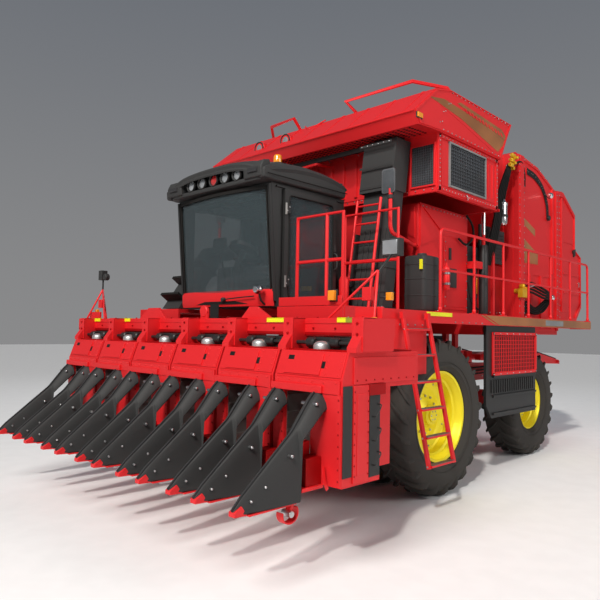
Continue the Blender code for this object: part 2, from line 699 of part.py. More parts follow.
# ---- Cotton path ------------------------------------------------------------------------------
def duct_outline(front, rear, low, high, slope):
    shift = (high - low) * slope
    return [(front, low), (rear, low), (rear + shift, high), (front + shift, high)]


def ducts():
    """Air ducts that carry the cotton up, with sleeves that slide over their tops."""
    low = DECK_TOP + TOUCH
    front = DUCT_FRONT
    rear = DUCT_FRONT + DUCT_DEPTH
    wall = 0.015
    sleeve_low = 3.72
    sleeve_high = 4.385
    start = (sleeve_low - low) * DUCT_SLOPE
    slide_room = HOPPER_TRAVEL * DUCT_SLOPE + RUNNING
    sleeve_front = front + start - slide_room - wall
    sleeve_rear = rear + start + RUNNING + wall
    ducts_made = [box((-DUCT_IN - wall / 2, front + 0.01, low), (DUCT_IN + wall / 2, rear - 0.02, low + 0.30))]
    sleeves_made = []
    for side in (1, -1):
        x_low = min(side * DUCT_IN, side * DUCT_OUT)
        x_high = max(side * DUCT_IN, side * DUCT_OUT)
        outer = plate(duct_outline(front, rear, low, DUCT_TOP, DUCT_SLOPE), "X", x_low, x_high)
        inner = plate(
            duct_outline(front + wall - DUCT_SLOPE, rear - wall - DUCT_SLOPE, low - 1, DUCT_TOP + 1, DUCT_SLOPE),
            "X", x_low + wall, x_high - wall)
        ducts_made.append(solid([outer], [inner]))
        outer = plate(
            duct_outline(sleeve_front, sleeve_rear, sleeve_low, sleeve_high, DUCT_SLOPE), "X",
            x_low - RUNNING - wall, x_high + RUNNING + wall)
        inner = plate(
            duct_outline(
                sleeve_front + wall - DUCT_SLOPE, sleeve_rear - wall - DUCT_SLOPE,
                sleeve_low - 1, sleeve_high + 1, DUCT_SLOPE),
            "X", x_low - RUNNING, x_high + RUNNING)
        sleeves_made.append(solid([outer], [inner]))
    reach = DUCT_IN - RUNNING - wall / 2
    strap_y = sleeve_front + (sleeve_high - sleeve_low) * DUCT_SLOPE
    strap = box((-reach, strap_y + 0.02, sleeve_high - 0.07), (reach, strap_y + 0.06, sleeve_high - 0.01))
    place("suction_ducts", solid(ducts_made), "black")
    place("duct_sleeves", solid([strap] + sleeves_made), "black", "hopper_lift")


def lower_hopper():
    """The fixed housing below the hopper, open at the top, with the barrels of the lift rods."""
    low = DECK_TOP + TOUCH
    front = HOUSING_FRONT
    rear = HOUSING_REAR
    body = box((-HOUSING_HALF, front, low), (HOUSING_HALF, rear, HOUSING_HIGH))
    inner = box(
        (-HOUSING_HALF + SHEET, front + SHEET, low + 0.06),
        (HOUSING_HALF - SHEET, rear - SHEET, HOUSING_HIGH + 1))
    pieces = [solid([body], [inner])]
    bores = []
    for side in (1, -1):
        x = side * ROD_X
        pieces.append(rod((x, ROD_Y, low), (x, ROD_Y, 3.25), 0.05, 12))
        pieces.append(box((x - 0.02, rear - 0.02, 2.9), (x + 0.02, ROD_Y, 3.0)))
        inner_x = side * (HOUSING_HALF - 0.04)
        outer_x = side * (ROD_X + 0.02)
        pieces.append(box((min(inner_x, outer_x), rear - 0.04, 2.9), (max(inner_x, outer_x), rear - 0.01, 3.0)))
        bores.append(rod((x, ROD_Y, low + 0.30), (x, ROD_Y, 3.60), 0.034, 12))
    place("lower_hopper", solid(pieces, bores), "red")
    tank = box((0.80, rear + 0.06, low), (1.42, rear + 0.62, 3.25))
    place("hydraulic_tank", tank, "black")


def upper_hopper():
    """The hopper box with the two rods that raise it."""
    body = box(
        (-HOPPER_HALF, HOPPER_FRONT, HOPPER_LOW), (HOPPER_HALF, HOPPER_REAR, HOPPER_HIGH))
    inner = box(
        (-HOPPER_HALF + SHEET, HOPPER_FRONT + SHEET, HOPPER_LOW - 1),
        (HOPPER_HALF - SHEET, HOPPER_REAR - SHEET, HOPPER_HIGH + 1))
    pieces = [solid([body], [inner])]
    for side in (1, -1):
        x = side * ROD_X
        pieces.append(rod((x, ROD_Y, 3.02), (x, ROD_Y, 3.90), 0.025, 12))
        pieces.append(box((x - 0.05, HOPPER_REAR - 0.01, 3.80), (x + 0.05, ROD_Y + 0.04, 3.92)))
    place("upper_hopper", solid(pieces), "red", "hopper_lift")


def hopper_roof():
    low = HOPPER_HIGH + TOUCH
    side = [
        (-0.66, 4.41), (-0.75, 4.56), (-0.28, 4.95), (0.05, 5.03), (1.77, 5.03), (1.62, 4.78),
        (HOPPER_REAR + 0.02, low), (HOPPER_FRONT - 0.02, low),
    ]
    inner = [
        (-0.62, 4.52), (-0.24, 4.89), (0.07, 4.97), (1.66, 4.97), (1.56, 4.80), (HOPPER_REAR - 0.06, 4.56),
        (HOPPER_REAR - 0.06, 4.2), (HOPPER_FRONT + 0.06, 4.2), (HOPPER_FRONT + 0.06, 4.50),
    ]
    half = HOPPER_HALF + 0.04
    roof = plate(side, "X", -half, half)
    room = plate(inner, "X", -HOPPER_HALF + 0.06, HOPPER_HALF - 0.06)
    pieces = [solid([roof], [room])]
    for mirror in (1, -1):
        route = [
            (0.55, -0.10, 4.97), (0.50, -0.34, 5.12), (1.35, 0.0, 5.27), (1.66, 0.35, 5.20),
            (1.72, 0.62, 4.99),
        ]
        pieces.append(tube([(mirror * x, y, z) for x, y, z in route], 0.025, 1))
    place("hopper_roof", solid(pieces), "red", "hopper_lift")


# ---- Module builder ---------------------------------------------------------------------------
def module_chamber():
    side = [
        (CHAMBER_FRONT, CHAMBER_LOW), (CHAMBER_REAR, CHAMBER_LOW), (CHAMBER_REAR, 4.58), (4.25, 4.62),
        (3.6, 4.85), (CHAMBER_FRONT + 0.1, 4.93), (CHAMBER_FRONT, 4.88),
    ]
    room = [
        (CHAMBER_FRONT + SHEET, CHAMBER_LOW + SHEET), (6, CHAMBER_LOW + SHEET), (6, 4.50), (4.25, 4.55),
        (3.6, 4.78), (CHAMBER_FRONT + 0.12, 4.86), (CHAMBER_FRONT + SHEET, 4.84),
    ]
    body = plate(side, "X", -CHAMBER_HALF, CHAMBER_HALF)
    inner = plate(room, "X", -CHAMBER_HALF + SHEET, CHAMBER_HALF - SHEET)
    feed = box((-1.2, 2.0, 2.9), (1.2, 2.9, 3.5))
    place("module_chamber", solid([body], [inner, feed]), "red")


def rear_gate():
    joint_empty("rear_gate_hinge", (0, GATE_FRONT, GATE_HINGE_Z))
    side = [
        (GATE_FRONT, 4.60), (4.72, 4.63), (5.32, 4.29), (5.31, 3.61), (5.62, 3.49), (5.62, 2.5), (5.3, 2.2),
        (GATE_FRONT, 2.2),
    ]
    room = [
        (4.0, 4.50), (4.70, 4.56), (5.26, 4.25), (5.25, 3.57), (5.56, 3.45), (5.56, 2.53), (5.27, 2.26),
        (4.0, 2.26),
    ]
    body = plate(side, "X", -CHAMBER_HALF, CHAMBER_HALF)
    inner = plate(room, "X", -CHAMBER_HALF + SHEET, CHAMBER_HALF - SHEET)
    place("rear_gate", solid([body], [inner]), "red", "rear_gate_hinge")


def module_handler():
    joint_empty("handler_hinge", (0, HANDLER_Y, HANDLER_Z))
    side = [
        (HANDLER_Y - 0.05, 1.44), (HANDLER_Y - 0.05, 1.56), (5.2, 1.62), (6.22, 1.46), (6.25, 1.38),
        (5.2, 1.42),
    ]
    arms = []
    for x in (-0.86, -0.28, 0.16, 0.74):
        arms.append(plate(side, "X", x, x + 0.12))
    cross = rod((-0.90, 5.0, 1.51), (0.90, 5.0, 1.51), 0.05, 10)
    far = rod((-0.90, 6.12, 1.43), (0.90, 6.12, 1.43), 0.03, 8)
    place("module_handler", solid([cross, far] + arms), "red", "handler_hinge")


def side_tank():
    low = DECK_TOP + TOUCH
    outline = [(1.47, -0.34), (1.47, 0.02), (1.77, 0.02), (1.77, -0.34)]
    place("water_tank", plate(outline, "Z", low, 2.92), "black")


def mirrors():
    """A mirror on its bent tube at each front corner of the hopper housing."""
    for name, side in (("left", 1), ("right", -1)):
        route = [
            (1.40, HOUSING_FRONT - TOUCH, 3.10), (1.40, HOUSING_FRONT - 0.09, 3.10), (1.52, -0.34, 3.10),
            (1.60, MIRROR_Y + 0.04, 3.14), (1.60, MIRROR_Y, 3.22), (1.60, MIRROR_Y, 3.62),
        ]
        arm = tube([(side * x, y, z) for x, y, z in route], 0.028, 1)
        x_low = min(side * 1.48, side * 1.68)
        x_high = max(side * 1.48, side * 1.68)
        plate_piece = box((x_low, MIRROR_Y - 0.02, 3.60), (x_high, MIRROR_Y + 0.02, 3.90))
        place(f"mirror_{name}", solid([arm, plate_piece]), "red")


def main():
    for old in list(bpy.data.objects):
        bpy.data.objects.remove(old)
    new_collection(PARTS)
    cutters = new_collection(CUTTERS)
    machine = joint_empty("machine", (0, 0, 0), None)
    machine.location = (0, AXLE_Y, 0)
    joint_empty("header_lift", (0, LIFT_Y, LIFT_Z))
    joint_empty("hopper_lift", (0, 0, HOPPER_LOW))
    header_beam()
    header_lift_arms()
    for index in range(ROWS):
        unit_cabinet(index)
        unit_dividers(index)
    for name, side in (("left", 1), ("right", -1)):
        front_wheel(name, side)
        rear_wheel(name, side)
        deck(name, side, 5.05)
        handrail(name, side, 5.05)
    axles()
    main_frame()
    engine_block()
    ladders()
    wheel_guards()
    cab()
    cab_roof()
    operator_place()
    ducts()
    lower_hopper()
    upper_hopper()
    hopper_roof()
    module_chamber()
    rear_gate()
    module_handler()
    side_tank()
    mirrors()
    for left in cutters.objects:
        left.hide_render = True
        left.display_type = "WIRE"


if __name__ == "__main__":
    main()
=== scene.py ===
"""Looks of a six-row cotton picker: paint, plastic, glass, tyres, trim and studio.

Lengths are metres. Places are given from the front axle's middle at ground level, with the
machine's left at +X and its rear at +Y; the pile that makes a piece adds the axle's own place.
"""
import math

import bmesh
import bpy
import numpy as np
from bpy.props import FloatProperty, FloatVectorProperty, IntProperty, PointerProperty
from mathutils import Matrix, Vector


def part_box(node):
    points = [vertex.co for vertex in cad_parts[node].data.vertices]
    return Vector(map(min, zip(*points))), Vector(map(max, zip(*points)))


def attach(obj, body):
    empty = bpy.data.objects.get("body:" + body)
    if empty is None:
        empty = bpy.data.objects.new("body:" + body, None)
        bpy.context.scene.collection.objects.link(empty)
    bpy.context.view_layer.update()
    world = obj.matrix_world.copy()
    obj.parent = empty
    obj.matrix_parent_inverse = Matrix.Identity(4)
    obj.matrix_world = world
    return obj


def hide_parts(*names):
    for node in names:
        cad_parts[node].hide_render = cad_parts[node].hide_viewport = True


bl_info = {
    "name": "Cotton picker dressing",
    "version": (1, 0, 0),
    "blender": (4, 5, 0),
    "location": "3D View > Sidebar > Picker",
    "description": "Finishes and fine pieces for the cotton picker machine",
    "category": "Object",
}

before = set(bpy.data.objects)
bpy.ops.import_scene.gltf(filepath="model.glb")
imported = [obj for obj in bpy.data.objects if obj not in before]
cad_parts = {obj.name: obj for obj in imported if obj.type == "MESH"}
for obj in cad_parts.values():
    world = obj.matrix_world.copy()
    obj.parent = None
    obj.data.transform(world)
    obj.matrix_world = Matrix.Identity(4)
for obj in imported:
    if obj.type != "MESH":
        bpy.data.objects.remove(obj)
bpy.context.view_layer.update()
AXLE_Y = (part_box("front_axle")[0].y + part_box("front_axle")[1].y) / 2
LEFT = 1
RIGHT = -1
SIDES = ((LEFT, "left"), (RIGHT, "right"))
DECK_TOP = 2.231
RAIL_HIGH = 1.05                        # a handrail's top above the deck


def span(node):
    """Lowest and highest corner of a CAD node, seen from the front axle."""
    low, high = (np.array(corner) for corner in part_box(node))
    shift = np.array((0.0, AXLE_Y, 0.0))
    return low - shift, high - shift


# ---- Shapes: each is (points, faces) ------------------------------------------------------------
def unit(vectors):
    """Vectors divided by their length."""
    return vectors / np.maximum(np.linalg.norm(vectors, axis=-1, keepdims=True), 1e-9)


def skin(grid, close_u=False, close_v=False, caps=False):
    """Quads over a grid of points: cell (i, j) joins its four neighbours, wrapping where closed."""
    count_u, count_v = grid.shape[:2]
    index = np.arange(count_u * count_v).reshape(count_u, count_v)
    u = np.arange(count_u if close_u else count_u - 1)
    v = np.arange(count_v if close_v else count_v - 1)
    first = index[np.ix_(u, v)]
    second = index[np.ix_((u + 1) % count_u, v)]
    third = index[np.ix_((u + 1) % count_u, (v + 1) % count_v)]
    fourth = index[np.ix_(u, (v + 1) % count_v)]
    faces = np.stack((first, second, third, fourth), -1).reshape(-1, 4).tolist()
    if caps:
        faces += [index[0].tolist(), index[-1][::-1].tolist()]
    return grid.reshape(-1, 3), faces


def block(low, high):
    """A box between two corners: the corner bits choose low or high on each axis."""
    bits = np.array([[(k >> axis) & 1 for axis in range(3)] for k in range(8)])
    points = np.where(bits == 1, np.maximum(low, high), np.minimum(low, high)).astype(float)
    faces = [[0, 2, 3, 1], [4, 5, 7, 6], [0, 1, 5, 4], [2, 6, 7, 3], [0, 4, 6, 2], [1, 3, 7, 5]]
    return points, faces


def prism(outline, axis, near, far):
    """A flat outline pushed along an axis, with an n-gon at each end."""
    outline = np.array(outline, float)
    order = {"X": (2, 0, 1), "Y": (0, 2, 1), "Z": (0, 1, 2)}[axis]
    ends = []
    for depth in (near, far):
        flat = np.column_stack((outline, np.full(len(outline), depth)))
        ends.append(flat[:, list(order)])
    return skin(np.stack(ends), close_v=True, caps=True)


def curve_through(points, step=0.03):
    """A smooth path through the points: a Catmull-Rom spline sampled about every step."""
    points = np.array(points, float)
    if len(points) < 3:
        return points
    ends = np.vstack((2 * points[0] - points[1], points, 2 * points[-1] - points[-2]))
    pieces = []
    for k in range(len(points) - 1):
        a, b, c, d = ends[k:k + 4]
        count = max(2, int(np.linalg.norm(c - b) / step))
        t = np.linspace(0, 1, count, endpoint=False)[:, None]
        pieces.append(0.5 * (2 * b + (c - a) * t + (2 * a - 5 * b + 4 * c - d) * t ** 2
                             + (3 * b - a - 3 * c + d) * t ** 3))
    return np.vstack(pieces + [points[-1:]])


def rounded(points, radius, steps=4):
    """A path whose inner corners become arcs: each corner is a quadratic curve between cut points."""
    points = [np.array(point, float) for point in points]
    path = [points[0]]
    for before, corner, after in zip(points, points[1:], points[2:]):
        enter = corner + unit(before - corner) * min(radius, np.linalg.norm(before - corner) * 0.45)
        leave = corner + unit(after - corner) * min(radius, np.linalg.norm(after - corner) * 0.45)
        for t in np.linspace(0, 1, steps + 1):
            path.append((1 - t) ** 2 * enter + 2 * t * (1 - t) * corner + t * t * leave)
    path.append(points[-1])
    return np.array(path)


def frames(path):
    """Side and up vectors square to a path, from one fixed direction that is never along it."""
    along = unit(np.gradient(path, axis=0))
    spread = np.abs(along).mean(0)
    fixed = np.eye(3)[int(np.argmin(spread))]
    side = unit(np.cross(along, fixed))
    return side, np.cross(side, along)


def pipe(path, radius, sides=10):
    """A round tube: ring point = path + radius (side cos a + up sin a)."""
    path = np.array(path, float)
    side, up = frames(path)
    angle = np.linspace(0, 2 * math.pi, sides, endpoint=False)[None, :, None]
    radius = np.broadcast_to(np.asarray(radius, float), (len(path),))[:, None, None]
    grid = path[:, None] + radius * (side[:, None] * np.cos(angle) + up[:, None] * np.sin(angle))
    return skin(grid, close_v=True, caps=True)


def bar(path, wide, tall):
    """A strip of rectangular section carried along a path."""
    path = np.array(path, float)
    side, up = frames(path)
    corners = np.array(((-1, -1), (1, -1), (1, 1), (-1, 1))) / 2
    across, over = corners[None, :, :1] * wide, corners[None, :, 1:] * tall
    grid = path[:, None] + side[:, None] * across + up[:, None] * over
    return skin(grid, close_v=True, caps=True)


def lathe(profile, steps, centre, axis="X", closed=True):
    """A (radius, along) profile turned about an axis: point = centre + r cos a, r sin a, along."""
    profile = np.array(profile, float)
    angle = np.linspace(0, 2 * math.pi, steps, endpoint=False)[:, None]
    radius, along = profile[None, :, 0], profile[None, :, 1] + 0 * angle
    first, second = radius * np.cos(angle), radius * np.sin(angle)
    order = {"X": (along, first, second), "Y": (second, along, first), "Z": (first, second, along)}[axis]
    grid = np.stack(order, -1) + np.array(centre)
    return skin(grid, close_u=True, close_v=closed)


def drum(centre, axis, radius, length, steps=16, chamfer=0.15):
    """A chamfered disc or boss, turned about an axis from its closed profile."""
    half = length / 2
    cut = min(radius, half) * chamfer * 2
    profile = [(0, -half), (radius - cut, -half), (radius, -half + cut), (radius, half - cut),
               (radius - cut, half), (0, half)]
    return lathe(profile, steps, centre, axis)


def copies(shape, shifts):
    """The same shape at each shift, as one stack of points."""
    points, faces = shape
    shifts = np.array(shifts, float)
    stacked = (points[None] + shifts[:, None]).reshape(-1, 3)
    every = [[index + k * len(points) for index in face] for k in range(len(shifts)) for face in faces]
    return stacked, every


def around(shape, centre, count, start=0.0):
    """The same shape turned in equal steps about a line along X."""
    points, faces = shape
    angle = start + np.arange(count) * 2 * math.pi / count
    cos, sin, zero, one = np.cos(angle), np.sin(angle), 0 * angle, 0 * angle + 1
    rows = ((one, zero, zero), (zero, cos, -sin), (zero, sin, cos))
    turn = np.array(rows).transpose(2, 0, 1)
    centre = np.array(centre, float)
    stacked = (np.einsum("kij,pj->kpi", turn, points - centre) + centre).reshape(-1, 3)
    every = [[index + k * len(points) for index in face] for k in range(count) for face in faces]
    return stacked, every


def mirrored(shape):
    """The shape on the machine's other side."""
    points, faces = shape
    return points * np.array((-1, 1, 1)), [face[::-1] for face in faces]


def sided(shape, side):
    """A shape made for the left side, mirrored when it is wanted on the right."""
    return shape if side == LEFT else mirrored(shape)


def line(start, end, count):
    """Evenly spaced points between two places."""
    return np.linspace(np.array(start, float), np.array(end, float), count)


def sheet_on(points, normal, thick):
    """A flat panel: its outline pushed along a normal."""
    points = np.array(points, float)
    normal = unit(np.array(normal, float))
    return skin(np.stack((points, points + normal * thick)), close_v=True, caps=True)


class Pile:
    """Gathers shapes that make one piece, then builds it as one mesh."""

    def __init__(self, name):
        self.name = name
        self.points = []
        self.faces = []
        self.slots = []
        self.materials = []
        self.total = 0

    def add(self, shape, material="red_paint"):
        """Append a shape: its faces count on from the points already there."""
        points, faces = shape
        if material not in self.materials:
            self.materials.append(material)
        self.points.append(points)
        self.faces += [[index + self.total for index in face] for face in faces]
        self.slots += [self.materials.index(material)] * len(faces)
        self.total += len(points)
        return self

    def build(self, body, bevel=0.003, smooth=32, stands_for=(), finish="red_paint"):
        """Weld, turn the faces outwards, place from the axle, and ride on a body."""
        mesh = bpy.data.meshes.new(self.name)
        points = np.vstack(self.points) + np.array((0.0, AXLE_Y, 0.0))
        mesh.from_pydata(points.tolist(), [], self.faces)
        mesh.polygons.foreach_set("material_index", np.array(self.slots, np.int32))
        for name in self.materials:
            mesh.materials.append(bpy.data.materials[name])
        shape = bmesh.new()
        shape.from_mesh(mesh)
        bmesh.ops.remove_doubles(shape, verts=shape.verts, dist=0.00002)
        bmesh.ops.dissolve_degenerate(shape, edges=shape.edges, dist=0.00001)
        bmesh.ops.recalc_face_normals(shape, faces=shape.faces)
        shape.to_mesh(mesh)
        shape.free()
        mesh.shade_smooth()
        mesh.set_sharp_from_angle(angle=math.radians(smooth))
        piece = bpy.data.objects.new(self.name, mesh)
        bpy.context.scene.collection.objects.link(piece)
        if bevel:
            soften = piece.modifiers.new("soft_edges", "BEVEL")
            soften.width = bevel
            soften.segments = 2
            soften.limit_method = "ANGLE"
            soften.angle_limit = math.radians(40)
            soften.harden_normals = False
        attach(piece, body)
        if stands_for:
            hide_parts(*stands_for)
        return piece


# ---- Shader tools -------------------------------------------------------------------------------
def wire(tree, source, target):
    """Link a socket to another."""
    tree.links.new(source, target)


def maths(tree, operation, first, second=0.0):
    """A Math node on sockets or numbers."""
    made = tree.nodes.new("ShaderNodeMath")
    made.operation = operation
    for socket, value in zip(made.inputs, (first, second)):
        if isinstance(value, bpy.types.NodeSocket):
            tree.links.new(value, socket)
        else:
            socket.default_value = value
    return made.outputs[0]


def blend_colour(tree, share, first, second):
    """A colour mix of two sockets or colours."""
    made = tree.nodes.new("ShaderNodeMix")
    made.data_type = "RGBA"
    for index, value in ((0, share), (6, first), (7, second)):
        if isinstance(value, bpy.types.NodeSocket):
            tree.links.new(value, made.inputs[index])
        else:
            made.inputs[index].default_value = value
    return made.outputs[2]


def start_group(name, inputs, outputs):
    """A node group with its sockets made first."""
    group = bpy.data.node_groups.new(name, "ShaderNodeTree")
    for label, kind, value in inputs:
        socket = group.interface.new_socket(label, in_out="INPUT", socket_type=kind)
        if value is not None:
            socket.default_value = value
    for label, kind in outputs:
        group.interface.new_socket(label, in_out="OUTPUT", socket_type=kind)
    enter = group.nodes.new("NodeGroupInput")
    leave = group.nodes.new("NodeGroupOutput")
    return group, enter.outputs, leave.inputs


def noise(tree, vector, scale, detail=3.0, rough=0.55):
    """A Noise Texture on a vector socket; its scale is a socket or a number."""
    made = tree.nodes.new("ShaderNodeTexNoise")
    wire(tree, vector, made.inputs["Vector"])
    if isinstance(scale, bpy.types.NodeSocket):
        wire(tree, scale, made.inputs["Scale"])
    else:
        made.inputs["Scale"].default_value = scale
    made.inputs["Detail"].default_value = detail
    made.inputs["Roughness"].default_value = rough
    return made.outputs["Fac"]


def ramp(tree, value, low, high):
    """A smooth step from 0 at low to 1 at high."""
    made = tree.nodes.new("ShaderNodeMapRange")
    made.interpolation_type = "SMOOTHSTEP"
    wire(tree, value, made.inputs["Value"])
    for label, setting in (("From Min", low), ("From Max", high)):
        if isinstance(setting, bpy.types.NodeSocket):
            wire(tree, setting, made.inputs[label])
        else:
            made.inputs[label].default_value = setting
    return made.outputs["Result"]


def make_dust_group():
    """Field dust: thick near the ground, in soft patches, and fine specks all over."""
    group, enter, leave = start_group(
        "field_dust",
        [("Colour", "NodeSocketColor", (1, 0, 0, 1)), ("Dust", "NodeSocketColor", (0.3, 0.22, 0.15, 1)),
         ("Amount", "NodeSocketFloat", 0.3), ("Height", "NodeSocketFloat", 1.6),
         ("Roughness", "NodeSocketFloat", 0.3)],
        [("Colour", "NodeSocketColor"), ("Roughness", "NodeSocketFloat"), ("Mask", "NodeSocketFloat")])
    place = group.nodes.new("ShaderNodeTexCoord").outputs["Object"]
    height = group.nodes.new("ShaderNodeSeparateXYZ")
    wire(group, place, height.inputs[0])
    low = maths(group, "SUBTRACT", 1.0, ramp(group, height.outputs[2], 0.0, enter["Height"]))
    patches = ramp(group, noise(group, place, 3.5, 6.0, 0.65), 0.35, 0.75)
    specks = ramp(group, noise(group, place, 60.0, 3.0, 0.6), 0.55, 0.8)
    spread = maths(group, "ADD", maths(group, "MULTIPLY", low, 0.9), 0.12)
    cover = maths(group, "MULTIPLY", spread, maths(group, "ADD", maths(group, "MULTIPLY", patches, 0.8),
                                                   0.35))
    cover = maths(group, "ADD", cover, maths(group, "MULTIPLY", specks,
                                             maths(group, "MULTIPLY", spread, 0.35)))
    mask = maths(group, "MINIMUM", maths(group, "MULTIPLY", cover, enter["Amount"]), 1.0)
    wire(group, blend_colour(group, mask, enter["Colour"], enter["Dust"]), leave["Colour"])
    rough = maths(group, "ADD", enter["Roughness"], maths(group, "MULTIPLY", mask, 0.5))
    wire(group, maths(group, "MINIMUM", rough, 1.0), leave["Roughness"])
    wire(group, mask, leave["Mask"])
    return group


def make_edge_group():
    """Edges in a lighter colour, partly wear and partly a painted highlight: where the rounded normal leaves
    the flat one.
    """
    group, enter, leave = start_group(
        "edge_wear_and_highlight", [("Radius", "NodeSocketFloat", 0.006), ("Amount", "NodeSocketFloat", 0.5)],
        [("Mask", "NodeSocketFloat")])
    soft = group.nodes.new("ShaderNodeBevel")
    soft.samples = 4
    wire(group, enter["Radius"], soft.inputs["Radius"])
    flat = group.nodes.new("ShaderNodeNewGeometry").outputs["Normal"]
    close = group.nodes.new("ShaderNodeVectorMath")
    close.operation = "DOT_PRODUCT"
    wire(group, soft.outputs[0], close.inputs[0])
    wire(group, flat, close.inputs[1])
    away = ramp(group, maths(group, "SUBTRACT", 1.0, close.outputs["Value"]), 0.02, 0.25)
    place = group.nodes.new("ShaderNodeTexCoord").outputs["Object"]
    broken = ramp(group, noise(group, place, 25.0, 5.0, 0.7), 0.4, 0.65)
    wire(group, maths(group, "MULTIPLY", maths(group, "MULTIPLY", away, broken), enter["Amount"]),
         leave["Mask"])
    return group


def make_grain_group():
    """Orange peel or moulded grain: fine noise over a slow ripple, as a height."""
    group, enter, leave = start_group(
        "surface_grain",
        [("Scale", "NodeSocketFloat", 300.0), ("Ripple", "NodeSocketFloat", 4.0),
         ("Mix", "NodeSocketFloat", 0.3)],
        [("Height", "NodeSocketFloat"), ("Tone", "NodeSocketFloat")])
    place = group.nodes.new("ShaderNodeTexCoord").outputs["Object"]
    fine = noise(group, place, enter["Scale"], 2.0, 0.5)
    slow = noise(group, place, enter["Ripple"], 2.0, 0.5)
    mixed = maths(group, "ADD", maths(group, "MULTIPLY", fine, enter["Mix"]), slow)
    wire(group, mixed, leave["Height"])
    wire(group, slow, leave["Tone"])
    return group


def make_weave_group():
    """Plain weave: two crossed sine waves, the higher one on top."""
    group, enter, leave = start_group(
        "seat_weave", [("Scale", "NodeSocketFloat", 900.0)], [("Height", "NodeSocketFloat")])
    place = group.nodes.new("ShaderNodeTexCoord").outputs["Object"]
    parts = group.nodes.new("ShaderNodeSeparateXYZ")
    wire(group, place, parts.inputs[0])
    waves = []
    for axis, other in ((0, 1), (2, 0)):
        first = maths(group, "SINE", maths(group, "MULTIPLY", parts.outputs[axis], enter["Scale"]))
        second = maths(group, "SINE", maths(group, "MULTIPLY", parts.outputs[other], enter["Scale"]))
        waves.append(maths(group, "MULTIPLY", first, second))
    wire(group, maths(group, "MAXIMUM", waves[0], waves[1]), leave["Height"])
    return group


GROUPS = {
    "field_dust": make_dust_group, "edge_wear_and_highlight": make_edge_group,
    "surface_grain": make_grain_group, "seat_weave": make_weave_group,
}
DUST = (0.33, 0.25, 0.17, 1.0)


def use_group(tree, name, **values):
    """A node of a shared group, its inputs set to sockets or values."""
    made = tree.nodes.new("ShaderNodeGroup")
    made.node_tree = bpy.data.node_groups[name]
    for label, value in values.items():
        if isinstance(value, bpy.types.NodeSocket):
            wire(tree, value, made.inputs[label])
        else:
            made.inputs[label].default_value = value
    return made.outputs


def finish(name, colour, rough, metal=0.0, coat=0.0, dust=0.2, height=1.6, grain=300.0, bump=0.1,
           ripple=4.0, mixing=0.3, edge_highlight_and_wear=0.0, edge_highlight_and_wear_colour=(0.5, 0.5, 0.5, 1), tone=0.08, spec=0.5,
           distance=0.002):
    """A coated surface: grained, a little uneven in tone, lighter at its edges (partly wear, partly a painted
    highlight) and dusty.
    """
    material = bpy.data.materials.new(name)
    material.use_nodes = True
    tree = material.node_tree
    shader = tree.nodes["Principled BSDF"]
    shader.inputs["Metallic"].default_value = metal
    shader.inputs["Coat Weight"].default_value = coat
    shader.inputs["Coat Roughness"].default_value = 0.06
    shader.inputs["Specular IOR Level"].default_value = spec
    grains = use_group(tree, "surface_grain", Scale=grain, Ripple=ripple, Mix=mixing)
    base = (*colour[:3], 1.0)
    dark = tuple(part * (1 - 3 * tone) for part in base[:3]) + (1.0,)
    shade = blend_colour(tree, ramp(tree, grains["Tone"], 0.3, 0.7), dark, base)
    if edge_highlight_and_wear:
        # Edges lightened: partly wear, partly a painted highlight where light would catch them.
        edges = use_group(tree, "edge_wear_and_highlight", Radius=0.006, Amount=edge_highlight_and_wear)
        shade = blend_colour(tree, edges["Mask"], shade, edge_highlight_and_wear_colour)
    dusty = use_group(tree, "field_dust", Colour=shade, Dust=DUST, Amount=dust, Height=height,
                      Roughness=rough)
    wire(tree, dusty["Colour"], shader.inputs["Base Color"])
    wire(tree, dusty["Roughness"], shader.inputs["Roughness"])
    relief = tree.nodes.new("ShaderNodeBump")
    relief.inputs["Strength"].default_value = bump
    relief.inputs["Distance"].default_value = distance
    wire(tree, grains["Height"], relief.inputs["Height"])
    wire(tree, relief.outputs[0], shader.inputs["Normal"])
    return material


def glass_finish(name, colour, alpha):
    """Tinted pane: a dark clear coat with smears that change its gloss."""
    material = bpy.data.materials.new(name)
    material.use_nodes = True
    tree = material.node_tree
    shader = tree.nodes["Principled BSDF"]
    grains = use_group(tree, "surface_grain", Scale=40.0, Ripple=2.5, Mix=0.3)
    smear = ramp(tree, grains["Height"], 0.45, 0.95)
    wire(tree, maths(tree, "ADD", maths(tree, "MULTIPLY", smear, 0.1), 0.03), shader.inputs["Roughness"])
    wire(tree, maths(tree, "ADD", maths(tree, "MULTIPLY", smear, 0.1), alpha), shader.inputs["Alpha"])
    shader.inputs["Base Color"].default_value = (*colour, 1)
    shader.inputs["Coat Weight"].default_value = 0.35
    shader.inputs["Coat Roughness"].default_value = 0.02
    shader.inputs["Specular IOR Level"].default_value = 0.4
    shade = blend_colour(tree, smear, (*colour, 1), tuple(part * 1.8 for part in colour) + (1,))
    wire(tree, shade, shader.inputs["Base Color"])
    return material


# ---- Sizes and colours that a user may change ---------------------------------------------------
def colour_value(label, text, value):
    """A colour setting with its default."""
    return FloatVectorProperty(name=label, description=text, subtype="COLOR", size=3, min=0, max=1,
                               default=value)


class PickerColours(bpy.types.PropertyGroup):
    """Colours of the machine's finishes."""
    red: colour_value("Red", "Body paint", (0.62, 0.001, 0.004))
    yellow: colour_value("Yellow", "Wheel paint", (0.93, 0.74, 0.006))
    black: colour_value("Black", "Moulded plastic", (0.006, 0.006, 0.0065))
    gold: colour_value("Gold", "Stripes", (0.46, 0.17, 0.05))
    rubber: colour_value("Rubber", "Tyres and hoses", (0.024, 0.022, 0.02))


